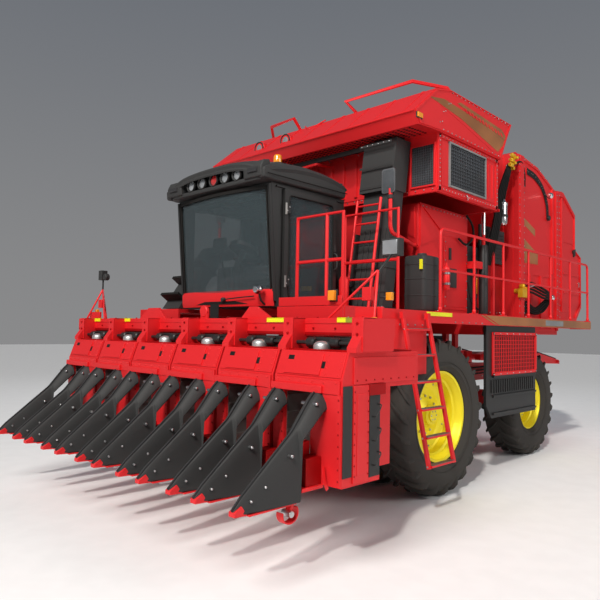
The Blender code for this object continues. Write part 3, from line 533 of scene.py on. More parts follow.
class PickerSizes(bpy.types.PropertyGroup):
    """Sizes of the fine pieces."""
    lugs: IntProperty(name="Lugs", description="Tread bars on one side of a tyre", default=23, min=12,
                      max=40)
    lug_height: FloatProperty(name="Lug height", description="Tread depth", default=0.042, unit="LENGTH")
    rivet: FloatProperty(name="Rivet", description="Radius of a rivet head", default=0.009,
                         unit="LENGTH")
    bolt: FloatProperty(name="Bolt", description="Radius of a bolt head", default=0.016, unit="LENGTH")
    rail: FloatProperty(name="Rail", description="Radius of a handrail tube", default=0.019,
                        unit="LENGTH")
    hose: FloatProperty(name="Hose", description="Radius of a hydraulic hose", default=0.016,
                        unit="LENGTH")


def sizes():
    """The sizes that a user may change."""
    return bpy.context.scene.picker_sizes


def hues():
    """The colours that a user may change."""
    return bpy.context.scene.picker_colours


def make_finishes():
    """Every finish of the machine, each from the shared groups with its own values."""
    tint = hues()
    red, black, rubber = tuple(tint.red), tuple(tint.black), tuple(tint.rubber)
    # The edge colours below are lighter than their finishes: a painted highlight on the red and yellow paint,
    # scuffs plus a painted highlight on the black finishes, and dusty wear on the tyres.
    finish("red_paint", red, 0.38, coat=0.06, spec=0.14, dust=0.01, height=1.0, grain=420, bump=0.05,
           tone=0.05, edge_highlight_and_wear=0.12, edge_highlight_and_wear_colour=(0.85, 0.03, 0.03, 1))
    # A darker copy of the red paint, used as painted shade: in the hollow under each divider arm, on the
    # cabinet lids under the header beam, below the end door's upper panel, in a recess of the housing side,
    # on the beam's lower strip, and darkening rivet and bolt heads.
    finish("shaded_red", tuple(part * 0.55 for part in red), 0.48, spec=0.15, dust=0.02, grain=300,
           tone=0.08)
    finish("black_plastic", black, 0.5, spec=0.16, dust=0.0, height=0.9, grain=900, bump=0.25,
           mixing=0.8, edge_highlight_and_wear=0.15, edge_highlight_and_wear_colour=(0.025, 0.025, 0.025, 1))
    finish("black_paint", (0.007, 0.007, 0.0075), 0.42, coat=0.03, spec=0.18, dust=0.0, grain=400,
           bump=0.06, edge_highlight_and_wear=0.2, edge_highlight_and_wear_colour=(0.03, 0.03, 0.03, 1))
    finish("gasket_rubber", tuple(part * 0.4 for part in rubber), 0.66, spec=0.2, dust=0.01, grain=500,
           bump=0.15)
    finish("yellow_paint", tuple(tint.yellow), 0.36, coat=0.1, spec=0.35, dust=0.03, height=0.9,
           grain=350, bump=0.06, tone=0.05, edge_highlight_and_wear=0.2, edge_highlight_and_wear_colour=(1.0, 0.95, 0.4, 1))
    finish("tyre_rubber", (0.03, 0.024, 0.019), 0.85, dust=0.55, height=2.4, grain=160, bump=0.5,
           mixing=0.6, tone=0.16, spec=0.3, edge_highlight_and_wear=0.6, edge_highlight_and_wear_colour=(0.13, 0.1, 0.07, 1), distance=0.004)
    finish("engine_iron", (0.05, 0.05, 0.055), 0.5, metal=0.4, dust=0.3, height=2.6, grain=120, bump=0.5,
           mixing=0.7, distance=0.004)
    finish("zinc_steel", (0.55, 0.55, 0.56), 0.32, metal=1.0, dust=0.06, grain=220, bump=0.1, tone=0.1)
    finish("bare_steel", (0.3, 0.29, 0.28), 0.4, metal=0.9, dust=0.15, grain=260, bump=0.2, tone=0.12)
    finish("chrome_plate", (0.85, 0.85, 0.86), 0.08, metal=1.0, dust=0.03, grain=200, bump=0.02)
    finish("cast_aluminium", (0.62, 0.62, 0.62), 0.45, metal=0.85, dust=0.1, grain=240, bump=0.4,
           mixing=0.7)
    finish("gold_stripe", tuple(tint.gold), 0.34, metal=0.35, coat=0.3, dust=0.06, grain=600, bump=0.04,
           tone=0.12, ripple=1.2)
    finish("grey_patch", (0.22, 0.22, 0.22), 0.45, dust=0.08, grain=400)
    finish("yellow_tape", (0.8, 0.78, 0.01), 0.3, coat=0.4, dust=0.05, grain=500, tone=0.04)
    finish("olive_tape", (0.28, 0.3, 0.02), 0.35, coat=0.4, dust=0.05, grain=500, tone=0.04)
    finish("valve_yellow", (0.8, 0.48, 0.02), 0.35, metal=0.4, dust=0.1, grain=300)
    finish("black_label", (0.01, 0.01, 0.01), 0.45, spec=0.2, dust=0.01, grain=500)
    finish("amber_lens", (0.85, 0.3, 0.01), 0.15, coat=1.0, dust=0.03, grain=90, bump=0.3, mixing=0.8)
    finish("clear_lens", (0.42, 0.44, 0.46), 0.1, metal=0.5, coat=1.0, dust=0.03, grain=70, bump=0.5,
           mixing=0.9)
    finish("red_lens", (0.5, 0.02, 0.02), 0.12, coat=1.0, dust=0.03, grain=70, bump=0.4, mixing=0.9)
    finish("screen_mesh", (0.07, 0.08, 0.095), 0.5, metal=0.3, dust=0.2, height=5.0, grain=400, bump=0.2)
    finish("panel_grey", (0.03, 0.03, 0.032), 0.55, spec=0.2, dust=0.01, grain=700, bump=0.2,
           mixing=0.8)
    glass_finish("tinted_glass", (0.002, 0.003, 0.0035), 0.84)
    glass_finish("mirror_glass", (0.05, 0.055, 0.06), 0.97)
    cloth = finish("seat_fabric", (0.035, 0.036, 0.042), 0.9, dust=0.05, grain=500, bump=0.1)
    tree = cloth.node_tree
    weave = use_group(tree, "seat_weave", Scale=900.0)
    relief = next(one for one in tree.nodes if one.type == "BUMP")
    relief.inputs["Strength"].default_value = 0.6
    wire(tree, weave["Height"], relief.inputs["Height"])
    tree.nodes["Principled BSDF"].inputs["Sheen Weight"].default_value = 0.4


PAINTED = {
    "tinted_glass": ("right_window", "rear_window", "door_glass"),
    "black_paint": ("cab_frame", "cab_door", "front_axle", "rear_left_knuckle", "rear_right_knuckle",
                    "wheel_guard_left", "wheel_guard_right"),
    "black_plastic": ("duct_sleeves", "suction_ducts", "hydraulic_tank", "seat_pedestal"),
    "engine_iron": ("engine_block",),
}


def paint_frame():
    """Give every CAD node its finish; what isn't named is red sheet metal."""
    chosen = {node: name for name, nodes in PAINTED.items() for node in nodes}
    for node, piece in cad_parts.items():
        piece.data.materials.clear()
        piece.data.materials.append(bpy.data.materials[chosen.get(node, "red_paint")])


def sheet_metal_finish():
    """The finishes, placed on the frame's own pieces."""
    for name, make in GROUPS.items():
        if name not in bpy.data.node_groups:
            make()
    make_finishes()
    paint_frame()


# ---- Wheels -------------------------------------------------------------------------------------
def tread_bars(centre, radius, half, side):
    """Tread bars: each runs from the middle to the shoulder and a little down the side wall.

    Along a bar, across = s from the middle, height = the crown's arc, and the bar turns by an
    angle that grows with s, so that it points forward. Its section is a tapered rectangle.
    """
    share = np.linspace(0, 1, 8)
    over = np.clip((share - 0.8) / 0.2, 0, 1)
    across = 0.012 + (half - 0.016) * np.minimum(share / 0.8, 1.0)
    top = radius - 0.028 * (across / half) ** 3 - 0.115 * over ** 1.2
    foot = top - sizes().lug_height - 0.02
    turn = 0.34 * share ** 0.85
    grid = []
    for edge, level in ((-1, 0), (-0.72, 1), (0.72, 1), (1, 0)):
        width = 0.02 + 0.014 * share
        around_at = turn + edge * width / radius * (1.0 if level else 1.15)
        reach = np.where(level, top, foot)
        out = across + over * (0.004 if level else -0.02)
        grid.append(np.stack((out, reach * np.sin(around_at), -reach * np.cos(around_at)), -1))
    grid = np.stack(grid, 1)
    grid[..., 0] *= side
    return skin(grid + np.array(centre), close_v=True, caps=True)


def tyre_carcass(centre, radius, rim, half):
    """The tyre's body: a closed turned outline with a bulging side wall and bead ridges."""
    crown = radius - sizes().lug_height
    outer = [(crown, 0.0), (crown - 0.004, half * 0.5), (crown - 0.026, half * 0.84),
             (crown - 0.085, half * 0.965),
             (crown - 0.16, half * 0.99), (rim + 0.13, half * 0.985), (rim + 0.075, half * 0.93),
             (rim + 0.06, half * 0.935), (rim + 0.052, half * 0.9), (rim + 0.018, half * 0.8),
             (rim + 0.004, half * 0.76)]
    right = curve_through(outer, 0.02)
    left = right[::-1] * np.array((1, -1))
    return lathe(np.vstack((right, left[:-1])), 96, centre)


def tyre_piece(node, body, rim):
    """One tyre: carcass, two staggered rows of tread bars and thin side-wall ribs."""
    low, high = span(node)
    centre = (low + high) / 2
    radius = (high[2] - low[2]) / 2
    half = (high[0] - low[0]) / 2
    count = sizes().lugs
    pile = Pile(node + "_tread")
    pile.add(tyre_carcass(centre, radius, rim, half), "tyre_rubber")
    step = 2 * math.pi / count
    for side, start in ((1, 0.0), (-1, step / 2)):
        pile.add(around(tread_bars(centre, radius, half, side), centre, count, start=start),
                 "tyre_rubber")
        for reach in (0.1, 0.155):
            ring = lathe([(rim + reach - 0.004, side * half * 0.955), (rim + reach, side * half * 0.996),
                          (rim + reach + 0.004, side * half * 0.955)], 96, centre)
            pile.add(ring, "tyre_rubber")
    pile.build(body, bevel=0.004, smooth=30, stands_for=(node,), finish="tyre_rubber")


def rim_outline(rim, lip, disc, hub, hub_end, facing):
    """A deep-dished rim: lip, flange, drop well, stepped cone, flat disc and hub, as one closed profile."""
    well = rim - 0.055
    front = [
        (0.0, hub_end), (hub * 0.55, hub_end), (hub * 0.62, hub_end - 0.012),
        (hub * 0.66, hub_end - 0.05),
        (hub, disc + 0.012), (hub + 0.05, disc), (rim * 0.62, disc + 0.004), (rim * 0.7, disc + 0.03),
        (rim * 0.76, disc + 0.036), (well - 0.05, disc + 0.012), (well - 0.028, disc + 0.03),
        (well - 0.022, lip - 0.115), (well, lip - 0.095), (well + 0.012, lip - 0.055),
        (rim - 0.022, lip - 0.03),
        (rim - 0.012, lip - 0.004), (rim + 0.018, lip), (rim + 0.022, lip - 0.012),
        (rim - 0.001, lip - 0.026),
    ]
    back_lip = 2 * facing - lip
    back = [
        (rim - 0.001, back_lip + 0.026), (rim + 0.022, back_lip + 0.012), (rim + 0.018, back_lip),
        (rim - 0.012, back_lip + 0.004), (rim - 0.022, back_lip + 0.03), (well - 0.01, back_lip + 0.09),
        (well - 0.03, disc - 0.04), (well - 0.06, disc - 0.018), (hub, disc - 0.025), (0.0, disc - 0.03),
    ]
    return front + back


def rim_piece(name, rims, hub, count):
    """All rims of one wheel with their bolts and hub cap."""
    pile = Pile(name)
    for centre, rim, disc_depth, side in rims:
        reach = 0.187
        profile = np.array(rim_outline(rim, reach, -disc_depth, hub, -disc_depth + 0.12, 0.0))
        profile[:, 1] = profile[:, 1] * side
        pile.add(lathe(profile, 96, centre), "yellow_paint")
        face = side * (-disc_depth)
        ring = hub + 0.032
        bolt = drum(np.array(centre) + (face + side * 0.012, ring, 0), "X", 0.017, 0.03, 6)
        washer = drum(np.array(centre) + (face + side * 0.003, ring, 0), "X", 0.024, 0.01, 12)
        pile.add(around(bolt, centre, count), "zinc_steel")
        pile.add(around(washer, centre, count), "yellow_paint")
        outer = drum(np.array(centre) + (face + side * 0.03, rim * 0.735, 0), "X", 0.014, 0.022, 6)
        pile.add(around(outer, centre, 12, start=0.13), "zinc_steel")
        cap = drum(np.array(centre) + (side * (-disc_depth + 0.125), 0, 0), "X", hub * 0.42, 0.03, 24)
        pile.add(cap, "yellow_paint")
        small = drum(np.array(centre) + (side * (-disc_depth + 0.142), hub * 0.28, 0), "X", 0.01, 0.012,
                     6)
        pile.add(around(small, centre, 6), "zinc_steel")
    return pile


class PICKER_OT_wheels(bpy.types.Operator):
    """Tyres with tread bars, and deep-dished rims"""
    bl_idname = "picker.wheels"
    bl_label = "Wheels"

    def execute(self, context):
        for side, word in SIDES:
            body = f"front_{word}_wheel"
            tyres = [f"front_{word}_{place}_tyre" for place in ("inner", "outer")]
            rims = []
            for node in tyres:
                low, high = span(node)
                tyre_piece(node, body, 0.56)
                rims.append(((low + high) / 2, 0.536, 0.055 if "outer" in node else -0.02, side))
            pile = rim_piece(f"front_{word}_rims", rims, 0.2, 12)
            centre = rims[0][0]
            pile.add(drum(centre * np.array((0, 1, 1)) + np.array((side * 1.06, 0, 0)), "X", 0.19, 0.98,
                          40), "black_paint")
            pile.build(body, smooth=28, stands_for=(body,), finish="yellow_paint")
            body = f"rear_{word}_wheel"
            node = f"rear_{word}_tyre"
            low, high = span(node)
            tyre_piece(node, body, 0.44)
            rims = [((low + high) / 2, 0.436, 0.055, side)]
            pile = rim_piece(f"rear_{word}_rim", rims, 0.15, 10)
            pile.build(body, smooth=28, stands_for=(body,), finish="yellow_paint")
        return {"FINISHED"}


# ---- Header -------------------------------------------------------------------------------------
ROWS = 6
UNIT_RIGHT, UNIT_LEFT = 0.285, 0.5     # a unit cabinet's two walls, from the middle of its row
DIVIDER = 0.2335                        # a divider's middle, from the middle of its row
HOOD_FOOT = (0.0, -2.83, 1.585)         # foot of the hood's sloping face
BEAM_FRONT, BEAM_TOP = -2.5, 2.09
SHOE_Y, SHOE_Z = -3.16, 0.545


def row_places():
    """The middle of each row channel: a fixed way in from the unit cabinet's right wall."""
    return [span(f"unit_cabinet_{index + 1}")[0][0] + UNIT_RIGHT for index in range(ROWS)]


def bolt_row(start, end, count, axis, radius=None, length=0.016):
    """Hexagon heads along a line."""
    head = drum((0, 0, 0), axis, radius or sizes().bolt, length, 6)
    return copies(head, line(start, end, count))


def rivets(start, end, count, axis):
    """Low round heads along a line."""
    head = drum((0, 0, 0), axis, sizes().rivet, 0.01, 8, 0.5)
    return copies(head, line(start, end, count))


def divider_skin(middle):
    """A crop divider: sections down its length, each a pointed arch with a hollow flank.

    Across a section, height runs from the ridge to the sole and the half width swells from the
    ridge to its widest point low down. The upper arm's underside ends in a hollow, so the sole
    rises steeply behind the low body's own rear edge.
    """
    y = np.array((-2.832, -2.87, -2.93, -3.0, -3.06, -3.088, -3.1, -3.13, -3.25, -3.4, -3.55, -3.64,
                  -3.7, -3.725))
    top = np.interp(y, (-3.73, -3.64, -3.12, -2.89, -2.83), (0.66, 0.752, 1.175, 1.455, 1.478))
    sole = np.interp(y, (-3.73, -3.1, -3.088, -2.87, -2.83), (0.632, 0.625, 1.1, 1.31, 1.33))
    half = np.interp(y, (-3.73, -2.83), (0.026, 0.114))
    down = np.array((0.0, 0.012, 0.05, 0.3, 0.62, 0.9, 0.985, 1.0))
    wide = np.array((0.18, 0.34, 0.44, 0.66, 0.92, 1.0, 0.92, 0.7))
    down = np.concatenate((down, down[::-1]))
    wide = np.concatenate((wide, -wide[::-1]))
    x = middle + half[:, None] * wide[None]
    z = top[:, None] - (top - sole)[:, None] * down[None]
    grid = np.stack((x, np.broadcast_to(y[:, None], x.shape), z), -1)
    return skin(grid, close_v=True, caps=True), y, top, half


class PICKER_OT_dividers(bpy.types.Operator):
    """Crop dividers with their steel tips, a lighter strip along each ridge as a painted sheen, and skids"""
    bl_idname = "picker.dividers"
    bl_label = "Crop dividers"

    def execute(self, context):
        for index, row in enumerate(row_places()):
            pile = Pile(f"crop_dividers_{index + 1}")
            for place, offset in enumerate((-DIVIDER, DIVIDER)):
                middle = row + offset
                shell, y, top, half = divider_skin(middle)
                pile.add(shell, "black_plastic")
                # Painted sheen: a lighter grey strip along the ridge where light catches the rounded top.
                ridge = np.column_stack((np.full(len(y), middle), y, top + 0.001))
                pile.add(bar(ridge[1:], 0.034, 0.012), "panel_grey")
                pile.add(copies(drum((0, 0, 0), "X", 0.014, half[4] * 2.0, 10, 0.3),
                                [(middle, here, level) for here,
                                 level in ((-2.93, 1.38), (-3.2, 1.0))]),
                         "zinc_steel")
                pile.add(copies(drum((0, 0, 0), "X", 0.011, half[9] * 1.9, 10, 0.3),
                                [(middle, here, level) for here,
                                 level in ((-3.44, 0.8), (-3.58, 0.72))]),
                         "zinc_steel")
                tip = [(-3.728, 0.628), (-3.728, 0.662), (-3.66, 0.7), (-3.6, 0.622)]
                wedge = prism(tip, "X", -0.034, 0.034)
                pile.add((wedge[0] + (middle, 0, 0), wedge[1]))
                pile.add(block((middle - 0.05, -3.6, 0.614), (middle + 0.05, -3.11, 0.628)))
                if place == 0:
                    skid = np.array(((middle, -3.5, 0.612), (middle, -3.3, 0.604),
                                     (middle, -3.1, 0.606)))
                    pile.add(bar(skid, 0.05, 0.012), "zinc_steel")
                pile.add(block((middle - 0.08, -3.086, 0.7), (middle + 0.08, -2.835, 0.73)))
                # Painted shade: a block of the darker red fills the hollow under the divider's upper arm.
                pile.add(block((middle - 0.1, -3.02, 0.73), (middle + 0.06, -2.835, 0.95)), "shaded_red")
            pile.add(block((row - 0.3, -2.868, 1.462), (row + 0.3, -2.834, 1.524)))
            pile.build("header", bevel=0.004, smooth=28, stands_for=(f"unit_dividers_{index + 1}",),
                       finish="black_plastic")
        return {"FINISHED"}


class PICKER_OT_units(bpy.types.Operator):
    """Hoods, door panels, grid bars and spindles of the picking units"""
    bl_idname = "picker.units"
    bl_label = "Picking units"

    def execute(self, context):
        top = span("unit_cabinet_1")[1][2]
        for index, row in enumerate(row_places()):
            self.hood(index, row, top)
            self.channel(index, row)
        self.end_doors(row_places()[-1] + UNIT_LEFT, LEFT)
        self.end_doors(row_places()[0] - UNIT_RIGHT, RIGHT)
        return {"FINISHED"}

    def hood(self, index, row, top):
        """The sloping hood with its raised panel and rivets, its lid, and the drives behind it."""
        pile = Pile(f"unit_hood_{index + 1}")
        left, right = row - 0.265, row + 0.48
        face = unit(np.array((0.0, -0.22, 0.08)))
        rise = unit(np.array((0.0, 0.08, 0.22)))
        base = np.array(HOOD_FOOT)

        def on_slope(x, up, out=0.0):
            return np.array((x, 0, 0)) + base + rise * up + face * out

        def plate(x_low, x_high, low, high, out, thick, paint):
            corners = [on_slope(x_low, low, out), on_slope(x_high, low, out),
                       on_slope(x_high, high, out), on_slope(x_low, high, out)]
            pile.add(sheet_on(corners, face, thick), paint)

        plate(left, right, 0.008, 0.226, 0.0, 0.006, "red_paint")
        plate(row - 0.175, row + 0.245, 0.018, 0.205, 0.006, 0.01, "red_paint")
        plate(left + 0.11, left + 0.18, 0.14, 0.18, 0.016, 0.002, "black_label")
        plate(right - 0.28, right - 0.2, 0.08, 0.14, 0.006, 0.002, "black_label")
        for x in (row + 0.3, row + 0.45):
            ends = on_slope(x, 0.03, 0.008), on_slope(x, 0.2, 0.008)
            pile.add(rivets(ends[0], ends[1], 4, "Y"))
        skirt = [(left, 1.46), (right, 1.46), (right, 1.572), (left, 1.572)]
        pile.add(prism(skirt, "Y", -2.846, -2.834))
        pile.add(rivets((left + 0.04, -2.849, 1.552), (right - 0.04, -2.849, 1.552), 6, "Y"))
        rear = span(f"unit_cabinet_{index + 1}")[1][1]
        # Painted shade: the lid under the header beam is in the darker red.
        pile.add(block((left + 0.02, -2.7, top), (right - 0.02, rear - 0.05, top + 0.014)), "shaded_red")
        dome = [(0.0, 0.0), (0.075, 0.0), (0.075, 0.03), (0.07, 0.045), (0.055, 0.06), (0.03, 0.07),
                (0.0, 0.072)]
        pile.add(lathe(dome, 24, np.array((row + 0.08, -2.62, top + 0.014)), "Z"), "cast_aluminium")
        pile.add(block((row - 0.12, -2.58, top + 0.014), (row + 0.42, -2.3, top + 0.118)),
                 "black_paint")
        pile.add(copies(drum((0, 0, 0), "X", 0.045, 0.1, 18),
                        [(row + k, -2.6, top + 0.07) for k in (-0.06, 0.22)]),
                 "black_paint")
        pile.build("header", smooth=30)

    def channel(self, index, row):
        """What shows in the row channel: spindles, grid bars, the pressure plate and front faces."""
        pile = Pile(f"unit_channel_{index + 1}")
        spindle = [(0.0, 0.0), (0.011, 0.0), (0.009, 0.05), (0.0045, 0.095), (0.0, 0.1)]
        wall = row + 0.1595
        one = lathe(np.array(spindle) * (1, -1), 8, (wall, 0, 0), "X")
        heights = 0.8 + np.arange(14) * 0.048
        places = [(0, y, z) for y in (-2.66, -2.56, -2.46, -2.36) for z in heights]
        pile.add(copies(one, places), "zinc_steel")
        rib = block((wall - 0.018, -2.78, 0.775), (wall, -1.8, 0.787))
        pile.add(copies(rib, [(0, 0, k * 0.048) for k in range(15)]), "bare_steel")
        plate = [(-2.8, 0.76), (-1.82, 0.76), (-1.82, 1.44), (-2.8, 1.44)]
        pile.add(prism(plate, "X", row - 0.1595, row - 0.15), "bare_steel")
        pile.add(copies(block((row - 0.152, -2.8, 0.8), (row - 0.135, -1.82, 0.815)),
                        [(0, 0, k * 0.15) for k in range(5)]), "bare_steel")
        for near, far in ((row - 0.283, row - 0.163), (row + 0.163, row + 0.498)):
            pile.add(block((near, -2.84, 0.725), (far, -2.8305, 1.455)))
            # Rivet heads in the darker red: painted shade.
            pile.add(rivets((far - 0.012, -2.843, 0.76), (far - 0.012, -2.843, 1.43), 9, "Y"),
                     "shaded_red")
        corner = np.array(((row + 0.478, -2.846, 0.73), (row + 0.478, -2.846, 1.46)))
        pile.add(bar(corner, 0.012, 0.036))
        # Rivet heads in the darker red: painted shade.
        pile.add(rivets((row + 0.478, -2.854, 0.78), (row + 0.478, -2.854, 1.42), 8, "Y"), "shaded_red")
        if row > 2:
            x = row + 0.08
            pile.add(block((x - 0.06, -2.93, 0.95), (x + 0.08, -2.842, 1.06)))
            bend = [(x + 0.3, -2.86, 0.7), (x + 0.3, -2.9, 0.78), (x + 0.26, -2.87, 0.88)]
            pile.add(bar(curve_through(bend, 0.03), 0.03, 0.008))
        pile.build("header", bevel=0.0, smooth=30)

    def end_doors(self, wall, side):
        """The end cabinet's outer wall: black corner strip, riveted panels and wire loops."""
        pile = Pile("end_door_left" if side == LEFT else "end_door_right")
        out = wall if side == LEFT else -wall

        def panel(y_low, y_high, z_low, z_high, depth, paint, start=0.0):
            shape = block((out + start, y_low, z_low), (out + start + depth, y_high, z_high))
            pile.add(sided(shape, side), paint)

        rear = -2.335 if side == LEFT else -1.76
        panel(-2.825, -2.715, 0.8, 1.53, 0.01, "black_plastic")
        panel(-2.7, -2.5, 0.74, 1.53, 0.014, "red_paint")
        panel(-2.48, rear, 0.76, 1.45, 0.006, "black_plastic")
        panel(-2.7, -1.8, 1.54, 1.76, 0.012, "red_paint")
        panel(-2.66, -2.54, 0.8, 1.46, 0.005, "red_paint", 0.014)
        # Painted shade: a strip in the darker red below the upper panel.
        panel(-2.5, rear + 0.06, 1.44, 1.535, 0.02, "shaded_red")
        for y in (-2.69, -2.51):
            # Rivet heads in the darker red: painted shade.
            pile.add(sided(rivets((out + 0.016, y, 0.8), (out + 0.016, y, 1.48), 9, "X"), side),
                     "shaded_red")
        for level in (0.86, 1.06, 1.26):
            loop = [(out + 0.006, -2.44, level), (out + 0.05, -2.44, level),
                    (out + 0.05, -2.37, level + 0.1), (out + 0.006, -2.37, level + 0.1)]
            pile.add(sided(pipe(rounded(loop, 0.02), 0.006, 8), side), "black_paint")
        # Rivet heads in the darker red: painted shade.
        pile.add(sided(rivets((out + 0.014, -2.66, 1.57), (out + 0.014, -1.84, 1.57), 8, "X"), side),
                 "shaded_red")
        pile.build("header", smooth=30)


class PICKER_OT_beam(bpy.types.Operator):
    """Header beam trim: reflector strips, hanger plates, drive shaft, hoses and end masts"""
    bl_idname = "picker.beam"
    bl_label = "Header beam"

    def execute(self, context):
        half, top, front = span("header_beam")[1][0], BEAM_TOP, BEAM_FRONT
        pile = Pile("beam_trim")
        pile.add(block((-half + 0.01, front - 0.006, 2.04), (half - 0.01, front, 2.082)))
        # Painted shade: the beam's lower strip is in the darker red.
        pile.add(block((-half + 0.01, front - 0.006, 1.936), (half - 0.01, front, 1.962)), "shaded_red")
        for start, end, paint in ((-2.46, -2.03, "yellow_tape"), (-1.71, -1.24, "yellow_tape"),
                                  (1.35, 1.78, "yellow_tape"), (2.26, 2.36, "yellow_tape"),
                                  (2.36, 2.6, "olive_tape"), (2.6, 2.67, "yellow_tape")):
            pile.add(block((start, front - 0.012, 2.05), (end, front - 0.006, 2.088)), paint)
            pile.add(block((start, front - 0.008, top), (end, front + 0.03, top + 0.004)), paint)
        pile.add(block((2.6, front - 0.012, 1.86), (2.672, front - 0.004, 2.05)), "yellow_tape")
        # Bolt heads in the darker red: painted shade.
        pile.add(bolt_row((-2.5, front + 0.05, top + 0.006), (2.5, front + 0.05, top + 0.006), 20, "Z",
                          0.01), "shaded_red")
        pile.add(bolt_row((-2.5, front - 0.008, 1.998), (2.5, front - 0.008, 1.998), 20, "Y", 0.01),
                 "shaded_red")
        for foot, crown, high_at in (((-1.07, -0.47), (-0.86, -0.63), 2.22),
                                     ((0.91, 1.4), (1.05, 1.16), 2.21)):
            outline = [(foot[0], top - 0.01), (foot[1], top - 0.01), (crown[1], high_at),
                       (crown[0], high_at)]
            pile.add(prism(outline, "Y", front + 0.02, front + 0.05))
        pile.add(drum((0.28, front + 0.03, 2.17), "Y", 0.065, 0.04, 28))
        pile.add(block((0.22, front + 0.02, top), (0.34, front + 0.05, 2.17)))
        pile.add(block((0.42, front, top), (0.56, front + 0.014, top + 0.15)), "black_label")
        shaft = line((-2.28, -2.6, 1.87), (2.56, -2.6, 1.87), 2)
        pile.add(pipe(shaft, 0.018, 6), "black_paint")
        for number, level in enumerate((1.96, 2.0, 2.04)):
            x = np.linspace(-2.45, 2.45, 12)
            run = np.column_stack((x, -2.19 + number * 0.006 + 0.006 * np.sin(x * 5 + number),
                                   np.full(12, level)))
            pile.add(pipe(curve_through(run, 0.08), sizes().hose, 10), "gasket_rubber")
        for index in range(ROWS + 1):
            middle = span("unit_cabinet_1")[0][0] - 0.0125 + index * (row_places()[1] - row_places()[0])
            for side in (-1, 1):
                near, far = sorted((middle + side * 0.05, middle + side * 0.06))
                plate = [(-2.24, 1.81), (-2.24, 2.07), (-2.48, 2.088), (-2.66, 2.088), (-2.66, 1.81)]
                pile.add(prism(plate, "X", near, far))
            pile.add(block((middle - 0.06, -2.668, 1.81), (middle + 0.06, -2.655, 2.088)))
            pile.add(block((middle - 0.06, -2.655, 2.08), (middle + 0.06, -2.5, 2.092)))
            # Bolt heads in the darker red: painted shade.
            pile.add(bolt_row((middle, -2.672, 1.86), (middle, -2.672, 2.04), 3, "Y", 0.012, 0.02),
                     "shaded_red")
        pile.build("header", smooth=30)
        for side, word in SIDES:
            self.mast(side, word, top)
        self.shoe()
        return {"FINISHED"}

    def mast(self, side, word, top):
        """A braced lamp mast at the header's end, with a work lamp and an amber marker."""
        pile = Pile(f"header_mast_{word}")
        x = 2.5
        head = np.array((x, -2.24, 2.5))
        for foot in ((x + 0.1, -2.42), (x - 0.42, -2.42), (x - 0.1, -2.22)):
            leg = line((foot[0], foot[1], top), head + (0, 0, 0.02), 2)
            pile.add(sided(pipe(leg, 0.013, 8), side))
        pile.add(sided(block((x - 0.16, -2.36, top), (x + 0.14, -2.33, top + 0.1)), side))
        pile.add(sided(block((x - 0.12, -2.315, top + 0.16), (x - 0.02, -2.27, top + 0.28)), side))
        if side == LEFT:
            reach = [head, (x + 0.03, -2.14, 2.62), (x + 0.045, -2.08, 2.7)]
            pile.add(pipe(rounded(np.array(reach), 0.03), 0.014, 8), "black_paint")
            pile.add(block((x - 0.06, -2.11, 2.66), (x + 0.13, -2.03, 2.82)), "black_plastic")
            pile.add(block((x - 0.045, -2.118, 2.675), (x + 0.115, -2.11, 2.805)), "clear_lens")
            pile.add(block((x + 0.1, -2.26, 2.25), (x + 0.16, -2.22, 2.32)), "amber_lens")
            pile.add(pipe(line((x + 0.02, -2.23, 2.28), (x + 0.11, -2.23, 2.28), 2), 0.01, 8),
                     "black_plastic")
        else:
            pile.add(sided(pipe(line(head, head + (0, 0, 0.16), 2), 0.012, 8), side), "black_paint")
            pile.add(mirrored(block((x - 0.05, -2.29, 2.66), (x + 0.05, -2.2, 2.8))), "black_plastic")
            pile.add(mirrored(drum((x - 0.13, -2.26, 2.7), "Y", 0.05, 0.07, 20)), "black_plastic")
            pile.add(mirrored(block((x + 0.04, -2.3, 2.16), (x + 0.11, -2.26, 2.23))), "amber_lens")
        pile.build("header", bevel=0.004, smooth=35)

    def shoe(self):
        """The curved height-sensing shoe under the left-most divider."""
        pile = Pile("height_shoe")
        x = row_places()[-1] + DIVIDER
        angle = np.linspace(-0.6, 3.4, 14)
        path = np.column_stack((np.full(14, x), SHOE_Y + 0.085 * np.cos(angle),
                                SHOE_Z - 0.075 * np.sin(angle)))
        pile.add(bar(path, 0.012, 0.07))
        pile.add(bar(line((x, SHOE_Y, SHOE_Z), (x, -3.12, 0.63), 3), 0.03, 0.05))
        pile.add(drum((x, SHOE_Y, SHOE_Z), "X", 0.028, 0.11, 16), "zinc_steel")
        pile.build("header", bevel=0.002, smooth=35)


# ---- Cab ----------------------------------------------------------------------------------------
def softened(outline, axis, near, far, radius):
    """A plate whose section is rounded along its length: stacked outlines drawn in near both faces.

    The outline at depth d from a face is shrunk by radius - sqrt(radius^2 - (radius - d)^2).
    """
    outline = np.asarray(outline, float)
    middle = outline.mean(0)
    turn = np.linspace(0, np.pi / 2, 5)
    depth = radius * (1 - np.cos(turn))
    inset = radius * (1 - np.sin(turn))
    levels = np.concatenate((near + depth, (far - depth)[::-1]))
    shrink = np.concatenate((inset, inset[::-1]))
    reach = np.abs(outline - middle).max(0)
    rings = middle + (outline - middle)[None] * (1 - shrink[:, None, None] / reach[None, None])
    grid = np.empty((*rings.shape[:2], 3))
    place = {"X": (1, 2, 0), "Y": (0, 2, 1), "Z": (0, 1, 2)}[axis]
    grid[..., place[0]] = rings[..., 0]
    grid[..., place[1]] = rings[..., 1]
    grid[..., place[2]] = levels[:, None]
    return skin(grid, close_v=True, caps=True)


def smooth_outline(points, radius):
    """A closed outline in two dimensions with rounded corners."""
    flat = np.asarray(points, float)
    path = np.column_stack((flat, np.zeros(len(flat))))
    start = (path[0] + path[-1]) / 2
    looped = np.vstack((start, path, start))
    return rounded(looped, radius, 5)[:-1, :2]


